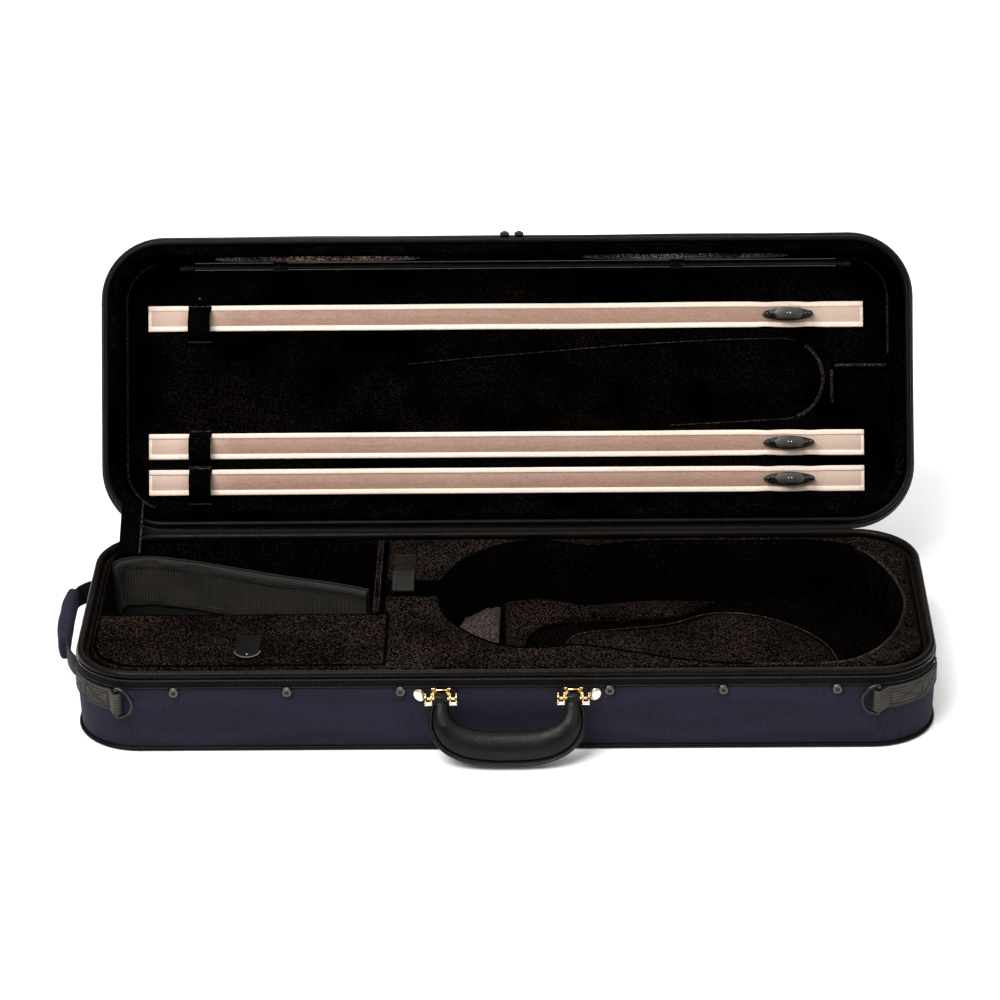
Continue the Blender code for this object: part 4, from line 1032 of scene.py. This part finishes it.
def build_rings():
    """D-rings and their webbing tabs, wrapped round the front corners and sewn with a crossed box."""
    last_turn = 86
    for side, sign in (("left", -1), ("right", 1)):
        low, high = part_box(f"d_ring_tab_{side}")
        middle = (low.z + high.z) / 2
        width = high.z - low.z
        bar = Vector(JOINTS[f"d_ring_{side}_swing"]["pos_m"])
        bar.z = middle
        frame_out = out_of_case(bar)
        along = UP.cross(frame_out).normalized() * sign
        past_x, past_y = abs(bar.x) - (LENGTH / 2 - CORNER), -(bar.y + WIDTH / 2 - CORNER)
        start_turn = math.degrees(math.atan2(past_x, past_y))
        wrap = [bar + along * (0.0036 * math.cos(a)) + frame_out * (0.0036 * math.sin(a))
                for a in (math.radians(-40 - 21 * k) for k in range(13))]
        turns = np.linspace(start_turn + 5, last_turn, 24)
        strip = [corner_point(sign, turn, 0.0004, middle) for turn in turns]
        path = curve_points([*wrap, *strip[1:]], 2)
        band = sweep(path, band_section(0.0016, width), UP)
        band = waved(band, 0.0003, 50)
        piece(f"ring_tab_{side}", band, TAB_WEBBING, "base", [f"d_ring_tab_{side}"])

        half = width / 2 - 0.0025
        rows = []
        for start, end in ((12, 46), (46, 80)):
            turns = [start_turn + turn * (last_turn - start_turn) / last_turn for turn in (start, end)]
            corners = [(turns[0], -half), (turns[1], -half), (turns[1], half), (turns[0], half)]
            for a, b in ((0, 1), (1, 2), (2, 3), (3, 0), (0, 2), (1, 3)):
                line = [corner_point(sign, corners[a][0] + (corners[b][0] - corners[a][0]) * t, 0.0015,
                                     middle + corners[a][1] + (corners[b][1] - corners[a][1]) * t)
                        for t in np.linspace(0, 1, 9)]
                rows.append(stitches(line, out_of_case, 0.0026, 0.0024, 0.00060))
        piece(f"ring_tab_stitching_{side}", merged(rows), THREAD, "base")

        low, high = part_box(f"d_ring_{side}")
        wire = 0.0017
        reach = 0.0165 - wire
        tall = (high.z - low.z) / 2 - wire
        inward = -along
        loop = [bar + UP * (tall * t) for t in np.linspace(0.9, -0.9, 9)]
        loop += [bar + inward * (reach * math.cos(a)) + UP * (tall * math.sin(a))
                 for a in (math.radians(-90 + 180 * i / 28) for i in range(29))]
        for point in loop:
            point.z += (low.z + high.z) / 2 - middle
        ring = sweep(curve_points(loop, 2, True), round_section(wire, 12), frame_out, True)
        piece(f"ring_{side}", ring, BLACK_METAL, f"d_ring_{side}", [f"d_ring_{side}"])


def build_subway_handle():
    """Padded canvas handle on the left end, with black webbing at its ends and inside."""
    wall = -LENGTH / 2
    outs = [(0.0022, -0.0740), (0.0090, -0.0630), (0.0145, -0.0440), (0.0185, -0.0100), (0.0195, 0.0300),
            (0.0180, 0.0600), (0.0110, 0.0720), (0.0022, 0.0790)]
    path = curve_points([(wall - out, y, SIDE_HANDLE_Z) for out, y in outs], 8)
    web = sweep([p + Vector((0.0010, 0, 0)) for p in path], band_section(0.0024, 0.0215), UP)
    piece("subway_webbing", waved(web, 0.0004, 40), BLACK_WEBBING, "base", ["subway_handle"])
    inner = [p for p in path if -0.043 < p.y < 0.064]

    def pad_section(t):
        """A rounded box, thinner towards the handle's two ends."""
        thick = 0.0140 * (0.62 + 0.38 * math.sin(math.pi * min(max(t, 0.0), 1.0)) ** 0.4)
        tall = 0.0235
        return [(thick / 2 * math.copysign(abs(math.cos(a)) ** 0.6, math.cos(a)),
                 tall / 2 * math.copysign(abs(math.sin(a)) ** 0.6, math.sin(a)))
                for a in (math.tau * i / 20 for i in range(20))]

    pad = smoothed(sweep([p - Vector((0.0020, 0, 0)) for p in inner], pad_section, UP))
    obj = piece("subway_pad", waved(pad, 0.0007, 45, 5.0), NAVY, "base")
    ends = []
    for y_low, y_high in ((-0.079, -0.066), (0.070, 0.083)):
        plate = [Vector((wall - 0.0014, y_low + (y_high - y_low) * i / 6, SIDE_HANDLE_Z)) for i in range(7)]
        ends.append(sweep(plate, band_section(0.0022, 0.0240), UP))
    piece("subway_ends", merged(ends), BLACK_WEBBING, "base")
    rows = []
    for z in (0.0425, 0.0595):
        line = [p + Vector((-0.0083, 0, z - SIDE_HANDLE_Z)) for p in inner[2:-2]]
        rows.append(stitches(line, Vector((-1, 0, 0)), 0.0034, 0.0024, 0.00035))
    piece("subway_stitching", merged(rows), THREAD, "base")


# Cloth across the hinge ------------------------------------------------------------------------


def build_stay():
    """The stay at the left end, with a rolled edge that rides along, in lit velour as a painted highlight."""
    low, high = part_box("lid_stay")
    middle = (low.x + high.x) / 2
    width = high.x - low.x
    line = [(0.0990, 0.0798), (0.1120, 0.0842), (0.1350, 0.0958), (0.1580, 0.1068)]
    path = [Vector((middle, p.x, p.y)) for p in curve_points([(y, z, 0) for y, z in line], 8)]
    stay = waved(sweep(path, band_section(0.0016, width), ACROSS), 0.0005, 45)
    band = piece("stay_band", stay, BLACK_VELOUR, "base", ["lid_stay"], ride=False)
    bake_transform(band)
    # Painted highlight: the rolled edge is lit velour.
    aside = Vector((width / 2 + 0.0004, 0, 0.0004))
    roll = sweep([p + aside for p in path], round_section(0.0011, 8), ACROSS)
    edge = piece("stay_edge", roll, VELOUR_HIGHLIGHT, "base", ride=False)
    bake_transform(edge)


def build_hinge_cloth():
    """The canvas strip from rim to rim along the back. Its left end follows both rims round the corner."""
    low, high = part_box("canvas_hinge")
    line = [(0.1434, 0.0600), (0.1434, 0.0700), (0.1436, 0.0770), (0.1446, 0.0796), (0.1468, 0.0798),
            (0.1500, 0.0782), (0.1550, 0.0755), (0.1600, 0.0729)]
    curve = curve_points([(0, y, z) for y, z in line], 4)
    rings = []
    xs = np.linspace(low.x - 0.024, high.x, 60)
    normals = [t.cross(ACROSS).normalized() for t in tangents(curve, False)]
    shares = [min(max((p.y - 0.1440) / 0.0050, 0.0), 1.0) for p in curve]
    aways = [Vector((0, -1, 0)).lerp(Vector((0, 0.469, 0.883)), share) for share in shares]
    for x in xs:
        sway = 0.0003 * noise.noise(Vector((x * 30, 0, 0)))
        turn = min(max(-(LENGTH / 2 - CORNER) - x, 0.0), CORNER)
        rise = CORNER - math.sqrt(CORNER**2 - turn**2)
        shifts = [away * rise for away in aways]
        ring = [p + shift + n * (0.0004 + sway) for p, n, shift in zip(curve, normals, shifts)]
        ring += [p + shift - n * 0.0004 for p, n, shift in reversed(list(zip(curve, normals, shifts)))]
        rings.append([Vector((x, point.y, point.z)) for point in ring])
    obj = piece("hinge_cloth", loft(rings), HINGE_CANVAS, "base", ["canvas_hinge"], ride=False)
    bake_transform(obj)


# Lid -------------------------------------------------------------------------------------------


def to_lid(mesh):
    mesh.transform(LID.inverted())
    return mesh


def lining_relief(point, normal):
    soft = 0.0005 * noise.noise(point * 24 + Vector((3, 1, 8)))
    return normal * soft


def build_lid_lining():
    """The lid's velour, rolls of lit velour along the edges of its recess and pocket as painted highlights,
    and bands of brushed-up pile.
    """
    lining = welded(to_lid(cad_copy("lid_lining")))
    top = max(vertex.co.z for vertex in lining.vertices)
    for vertex in lining.vertices:
        if vertex.co.z > top - 0.0005:
            vertex.co.z += 0.0048
    lining = push(softened(lining, 0.0021, 6), lining_relief)
    piece("lid_velour_lining", lining, LID_VELOUR, "lid", ["lid_lining"], LID, angle=180)
    # Painted highlights: the rolls are lit velour along the recess and pocket edges that catch the light.
    rolls = []
    for path in edge_paths("lid_lining", PANEL_Z, LID, 0.05):
        path = evened(path)
        right = max(point.x for point in path)
        if right > 0.3775:
            continue
        if right > 0.33:
            tests = [
                (lambda p: p.y < -0.1590, 0.0016),
                (lambda p: p.x < 0.3215 and p.y > -0.157, 0.0015),
            ]
        else:
            tests = [
                (lambda p: p.x > 0.285 and p.y > -0.180, 0.0018),
                (lambda p: -0.10 < p.x <= 0.285 and p.y < -0.160, 0.0004),
                (lambda p: 0.16 < p.x <= 0.285 and p.y > -0.115, 0.0006),
            ]
        for test, radius in tests:
            for run in stretches(path, test):
                rolls.append(sweep([p - UP * 0.0001 for p in run], round_section(radius, 8)))
    corner = case_ring(0.0196, PANEL_Z - 0.0014, LID_MIDDLE)
    for run in stretches(corner, lambda p: p.x > 0.315 and p.y < -0.160 or p.x < -0.345):
        rolls.append(sweep(run, round_section(0.0012, 8)))
    piece("lid_panel_edges", merged(rolls), VELOUR_HIGHLIGHT, "lid", (), LID)

    def tuft(t):
        swell = math.sin(math.pi * t) ** 0.4
        return band_section(0.0012 + 0.0044 * swell, 0.0060 + 0.0110 * swell)

    bands = []
    for x0, x1 in ((-0.285, -0.085), (0.075, 0.275)):
        band = [Vector((x, LID_MIDDLE - WIDTH / 2 + 0.0193, 0.026)) for x in np.linspace(x0, x1, 40)]
        bands.append(sweep(band, tuft))
    piece("lid_brushed_pile", merged(bands), BRUSHED_VELOUR, "lid", (), LID)


# The three bow strips, their tip loops and clips, in the lid's frame. STRIP_FACE is their padded face, and
# each clip has a peg this far each side of its middle.
STRIP_Y = (-0.2105, -0.0840, -0.0485)
LOOP_Y = (-0.2045, -0.0812, -0.0445)
STRIP_X = (-0.3540, 0.3510)
STRIP_FACE = PANEL_Z - 0.0003 - 0.0038 - 0.0003
LOOP_X = -0.3030
CLIP_X = 0.2770
PEG_OFFSETS = (-0.021, 0.021)


def strip_section(kind):
    """Points (y, height off the panel) across a bow strip: the padded middle, or one rolled satin edge."""
    if kind == "middle":
        crown = [(-0.0086 + 0.0172 * i / 12, 0.0023 + 0.0011 * math.sin(math.pi * i / 12)) for i in range(13)]
        return [(-0.0086, 0.0004), *crown, (0.0086, 0.0004)]
    points = []
    for i in range(16):
        angle = math.tau * i / 16
        across = math.copysign(abs(math.cos(angle)) ** 0.6, math.cos(angle))
        rise = math.copysign(abs(math.sin(angle)) ** 0.5, math.sin(angle))
        points.append((kind * 0.0101 + 0.0026 * across, 0.0020 + 0.0018 * rise))
    return points


def build_bow_strips():
    """Padded strips: a crowned middle between two rolled satin edges, pulled in at the loop and the clip."""
    low = PANEL_Z - 0.0003
    xs = np.linspace(STRIP_X[0], STRIP_X[1], 240)
    for number, strip_y in enumerate(STRIP_Y, 1):
        meshes = []
        for kind in ("middle", -1, 1):
            rings = []
            for x in xs:
                near_peg = max(math.exp(-((x - CLIP_X + s) / 0.009) ** 2) for s in PEG_OFFSETS)
                clip = math.exp(-((x - CLIP_X) / 0.024) ** 2)
                loop = math.exp(-((x - LOOP_X) / 0.012) ** 2)
                squeeze = 1 - 0.05 * near_peg - 0.02 * loop
                press = 1 - 0.18 * clip - 0.14 * loop
                ripple = 0.00022 * noise.noise(Vector((x * 38, number * 7.3, 0)))
                ripple += 0.0003 * near_peg * math.sin(x * 900)
                drift = 0.0004 * noise.noise(Vector((x * 7, number * 3.1, 5)))
                end = min((x - STRIP_X[0]) / 0.002, (STRIP_X[1] - x) / 0.002, 1.0)
                end = max(end, 0.0) ** 0.5 * 0.3 + 0.7
                ring = []
                for y, height in strip_section(kind):
                    height = max((height * end) * press + ripple * (height > 0.001), 0.0002)
                    ring.append(Vector((x, strip_y + drift + y * squeeze, low - height)))
                rings.append(ring)
            mesh = loft(rings)
            meshes.append(mesh)
            for polygon in mesh.polygons:
                inside = STRIP_X[0] + 0.0022 < polygon.center.x < STRIP_X[1] - 0.0022
                polygon.material_index = 0 if kind == "middle" and inside else 1
        obj = piece(f"bow_rest_{number}", merged(meshes), [BOW_CLOTH, BOW_EDGE], "lid",
                    [f"bow_strip_{number}"], LID, angle=60)


def build_bow_loops():
    """Velour loops for the bows' tips, each with a hem that flares at its ends; the hems are lit velour,
    painted highlights.
    """
    base = STRIP_FACE
    reach = 0.0175
    for number, loop_y in enumerate(LOOP_Y, 1):
        arch = [(loop_y - reach, base + 0.0006), (loop_y - reach + 0.0035, base - 0.0002)]
        for step in range(9):
            angle = math.radians(15 + 150 * step / 8)
            arch.append((loop_y - math.cos(angle) * (reach - 0.0035), base - math.sin(angle) ** 0.8 * 0.0126))
        arch += [(loop_y + reach - 0.0035, base - 0.0002), (loop_y + reach, base + 0.0006)]
        path = [Vector((LOOP_X, p.x, p.y)) for p in curve_points([(y, z, 0) for y, z in arch], 4)]
        band = sweep(path, lambda t: band_section(0.0016, 0.0220 + 0.0012 * abs(2 * t - 1) ** 4), ACROSS)
        piece(f"tip_loop_{number}", waved(band, 0.0004, 60, number), BLACK_VELOUR, "lid",
              [f"bow_tip_loop_{number}"], LID)
        # Painted highlights: the hems are lit velour.
        hems = []
        for y in (loop_y - reach, loop_y + reach):
            hem = [Vector((LOOP_X + 0.0113 * t, y, base - 0.0006 - 0.0003 * abs(t)))
                   for t in np.linspace(-1, 1, 9)]
            hems.append(sweep(hem, round_section(0.00075, 8), UP))
        piece(f"tip_loop_hems_{number}", merged(hems), VELOUR_HIGHLIGHT, "lid", (), LID)
    flap = [Vector((LOOP_X, y, PANEL_Z - 0.0010)) for y in np.linspace(-0.2500, -0.2245, 9)]
    flap = sweep(flap, band_section(0.0014, 0.0240), ACROSS)
    piece("tip_loop_flap", flap, BLACK_VELOUR, "lid", (), LID)
    place = (Vector((LOOP_X, -0.2300, PANEL_Z - 0.0024)), ACROSS, -UP)
    stud = scattered(box_shape(0.0030, 0.0030, 0.0014), [place])
    piece("tip_loop_stud", bevelled(stud, 0.0004, 2), BLACK_METAL, "lid", (), LID)


def build_clips():
    """Bevelled clip plates and swivels, black balls on the pegs and a small pair of steel screws."""
    for number, y in enumerate(STRIP_Y, 1):
        node = f"bow_clip_plate_{number}"
        plate = bevelled(cad_copy(node), 0.0005, 3)
        piece(f"clip_plate_{number}", plate, BLACK_METAL, "lid", [node])
        node = f"bow_clip_swivel_{number}"
        swivel = bevelled(cad_copy(node), 0.0006, 3)
        piece(f"clip_swivel_{number}", swivel, SWIVEL_METAL, f"swivel_{number}", [node])
        highest = min((LID.inverted() @ vertex.co).z for vertex in NODES[node].data.vertices)
        screws = [(Vector((CLIP_X + x, y, highest)), ACROSS, -UP) for x in (-0.0015, 0.0015)]
        heads = bevelled(scattered(box_shape(0.0018, 0.0018, 0.0008), screws), 0.0003, 2)
        piece(f"swivel_screws_{number}", heads, STEEL, f"swivel_{number}", (), LID)
        balls = [ball(0.0029, (CLIP_X + x, y, STRIP_FACE - 0.0022 - 0.0098), 20, 12) for x in PEG_OFFSETS]
        piece(f"peg_balls_{number}", merged(balls), BLACK_PLASTIC, "lid", (), LID)


def build_rail():
    """The slim rail along the lid's front: rod, two bright lines along it as painted highlights, end caps and
    brackets.
    """
    low, high = -0.3230, 0.3400
    rail_y, rail_z, cap = -0.2612, 0.0480, 0.016
    for side in ("left", "right"):
        for node in (f"rail_end_cap_{side}", f"rail_bracket_{side}"):
            mesh = bevelled(cad_copy(node), 0.0006, 3)
            piece(f"{node}_finish", mesh, RAIL_PLASTIC, "lid", [node])
    rod = bevelled(cad_copy("utility_rail"), 0.0003, 2)
    piece("utility_rail_finish", rod, RAIL_PLASTIC, "lid", ["utility_rail"])
    # Painted highlights: two thin bright lines along the rod's edges.
    lines = []
    for y in (-0.0034, 0.0034):
        line = [Vector((x, rail_y + y, rail_z - 0.0026)) for x in np.linspace(low + cap, high - cap, 50)]
        lines.append(sweep(line, round_section(0.00050, 8)))
    piece("rail_painted_highlights", merged(lines), RAIL_HIGHLIGHT, "lid", (), LID)


# Finish on the CAD parts that stay -------------------------------------------------------------


def paint(node, material):
    """A CAD node's own shape in one material."""
    mesh = NODES[node].data
    mesh.materials.clear()
    mesh.materials.append(material)


def paint_cad():
    for side in ("left", "right"):
        paint(f"zip_slider_{side}", BLACK_METAL)
        paint(f"zip_pull_{side}", BLACK_METAL)
    for number in range(1, 7):
        paint(f"snap_stud_{number}", STUD_METAL)
    # The shells' near-black is painted shade for the gaps where they show.
    paint("base_shell", BOARD_PAINTED_SHADE)
    paint("lid_shell", BOARD_PAINTED_SHADE)


def build_brackets():
    """Brass handle brackets: back plate, a fork with a bright roll on each side of the handle, and a tab; the
    rolls and tab are in a paler brass as painted highlights.
    """
    front = -(WIDTH / 2 - COVER_INSET) - 0.0003
    pin = HANDLE_PIVOT
    for side, sign in (("left", -1), ("right", 1)):
        centre = pin.x + sign * HANDLE_HALF
        meshes, rolls = [], []
        plate = scattered(box_shape(0.0180, 0.0110, 0.0014), [
            (Vector((centre, front - 0.0007, 0.0575)), ACROSS, Vector((0, -1, 0)))])
        meshes.append(bevelled(plate, 0.0003, 2))
        for ear in (-1, 1):
            x = centre + ear * 0.0112
            for arm in (-0.0027, 0.0027):
                hook = [(front - 0.0008, 0.0632), (pin.y + 0.0010, 0.0637), (pin.y - 0.0030, 0.0612),
                        (pin.y - 0.0036, 0.0575), (pin.y - 0.0018, 0.0550)]
                path = curve_points([(x + arm, y, z) for y, z in hook], 5)
                meshes.append(sweep(path, band_section(0.0018, 0.0009, 3), ACROSS))
            roll = [Vector((x + dx, pin.y - 0.0022, 0.0553)) for dx in np.linspace(-0.0033, 0.0033, 5)]
            rolls.append(sweep(roll, round_section(0.0019, 14)))
            inner = x - ear * 0.0040
            curl = [Vector((inner + dx, front - 0.0020, 0.0640)) for dx in np.linspace(-0.0014, 0.0014, 4)]
            meshes.append(sweep(curl, round_section(0.0013, 12)))
        rod = [Vector((centre + dx, pin.y, pin.z)) for dx in np.linspace(-0.0125, 0.0125, 9)]
        meshes.append(sweep(rod, round_section(0.0014, 12)))
        piece(f"bracket_{side}", merged(meshes), BRASS, "base", [f"handle_bracket_{side}"])
        # Painted highlights: the rolls and the tab below are paler brass.
        piece(f"bracket_rolls_{side}", merged(rolls), BRASS_HIGHLIGHT, "base")
        tilt = math.radians(sign * 24)
        profile = [(1.0, 0.0002), (1.03, 0.0008), (0.98, 0.0016),
                   (0.80, 0.0022), (0.5, 0.0026), (0.2, 0.0027)]
        rings = []
        for share, out in profile:
            ring = []
            for i in range(28):
                angle = math.tau * i / 28
                a, b = 0.0050 * share * math.cos(angle), 0.0064 * share * math.sin(angle)
                x = centre + sign * 0.0200 + a * math.cos(tilt) - b * math.sin(-tilt)
                z = 0.0572 + a * math.sin(-tilt) + b * math.cos(tilt)
                ring.append(Vector((x, front - out, z)))
            rings.append(ring)
        piece(f"bracket_tab_{side}", loft(rings), BRASS_HIGHLIGHT, "base")


def build_stud_domes():
    """A small dome on the front of each snap stud."""
    domes = []
    for number in range(1, 7):
        low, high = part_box(f"snap_stud_{number}")
        domes.append(ball(0.0021, ((low.x + high.x) / 2, low.y + 0.0016, (low.z + high.z) / 2), 16, 10))
    piece("stud_centres", merged(domes), BLACK_METAL, "base")


# Stage -----------------------------------------------------------------------------------------


def build_stage():
    """Floor, lights, camera and world."""
    far = 8
    corners = [(-far, -far, 0), (far, -far, 0), (far, far, 0), (-far, far, 0)]
    floor = bpy.data.objects.new("floor", mesh_of(corners, [(0, 1, 2, 3)]))
    bpy.context.scene.collection.objects.link(floor)
    floor.data.materials.append(FLOOR.material)

    forward = Vector((-0.01477, 0.89535, -0.44513)).normalized()
    level = forward.cross(UP).normalized()
    above = level.cross(forward)
    roll = math.radians(-0.81)
    right = level * math.cos(roll) + above * math.sin(roll)
    top = above * math.cos(roll) - level * math.sin(roll)
    camera = bpy.data.objects.new("camera", bpy.data.cameras.new("camera"))
    bpy.context.scene.collection.objects.link(camera)
    camera.data.lens = 137.2
    camera.data.sensor_width = 36
    camera.data.clip_end = 60
    turn = Matrix((right, top, -forward)).transposed().to_4x4()
    camera.matrix_world = Matrix.Translation((0.0477, -3.1595, 1.7546)) @ turn
    bpy.context.scene.camera = camera

    for name, place, aim, size, watts in (
        ("key", (-1.2, -1.7, 3.1), (0, 0, 0.1), 2.2, 165),
        ("fill", (1.9, -2.4, 1.6), (0, 0, 0.1), 1.8, 16),
        ("back", (0.2, 2.3, 2.6), (0, 0.1, 0.2), 1.8, 40),
    ):
        light = bpy.data.objects.new(name, bpy.data.lights.new(name, "AREA"))
        light.data.shape = "SQUARE"
        light.data.size = size
        light.data.energy = watts
        light.location = place
        light.rotation_euler = (Vector(aim) - Vector(place)).to_track_quat("-Z", "Y").to_euler()
        bpy.context.scene.collection.objects.link(light)

    world = bpy.data.worlds.new("world")
    world.use_nodes = True
    tree = world.node_tree
    direction = tree.nodes.new("ShaderNodeTexCoord")
    split = tree.nodes.new("ShaderNodeSeparateXYZ")
    ramp = tree.nodes.new("ShaderNodeValToRGB")
    ramp.color_ramp.elements[0].position = 0.55
    ramp.color_ramp.elements[0].color = (0.10, 0.10, 0.10, 1)
    ramp.color_ramp.elements[1].position = 0.82
    ramp.color_ramp.elements[1].color = (1, 1, 1, 1)
    tree.links.new(direction.outputs["Generated"], split.inputs[0])
    tree.links.new(split.outputs["Z"], ramp.inputs[0])
    tree.links.new(ramp.outputs[0], tree.nodes["Background"].inputs["Color"])
    tree.nodes["Background"].inputs["Strength"].default_value = 1.30
    bpy.context.scene.world = world
    bpy.context.scene.view_settings.view_transform = "Standard"


build_stage()
build_rims()
build_insert()
build_cushions()
build_accessory_lid()
build_neck_strap()
build_shoulder_strap()
build_handle()
build_rings()
build_subway_handle()
build_stay()
build_hinge_cloth()
build_lid_lining()
build_bow_strips()
build_bow_loops()
build_clips()
build_rail()
build_brackets()
build_edge_rolls()
build_stud_domes()
paint_cad()
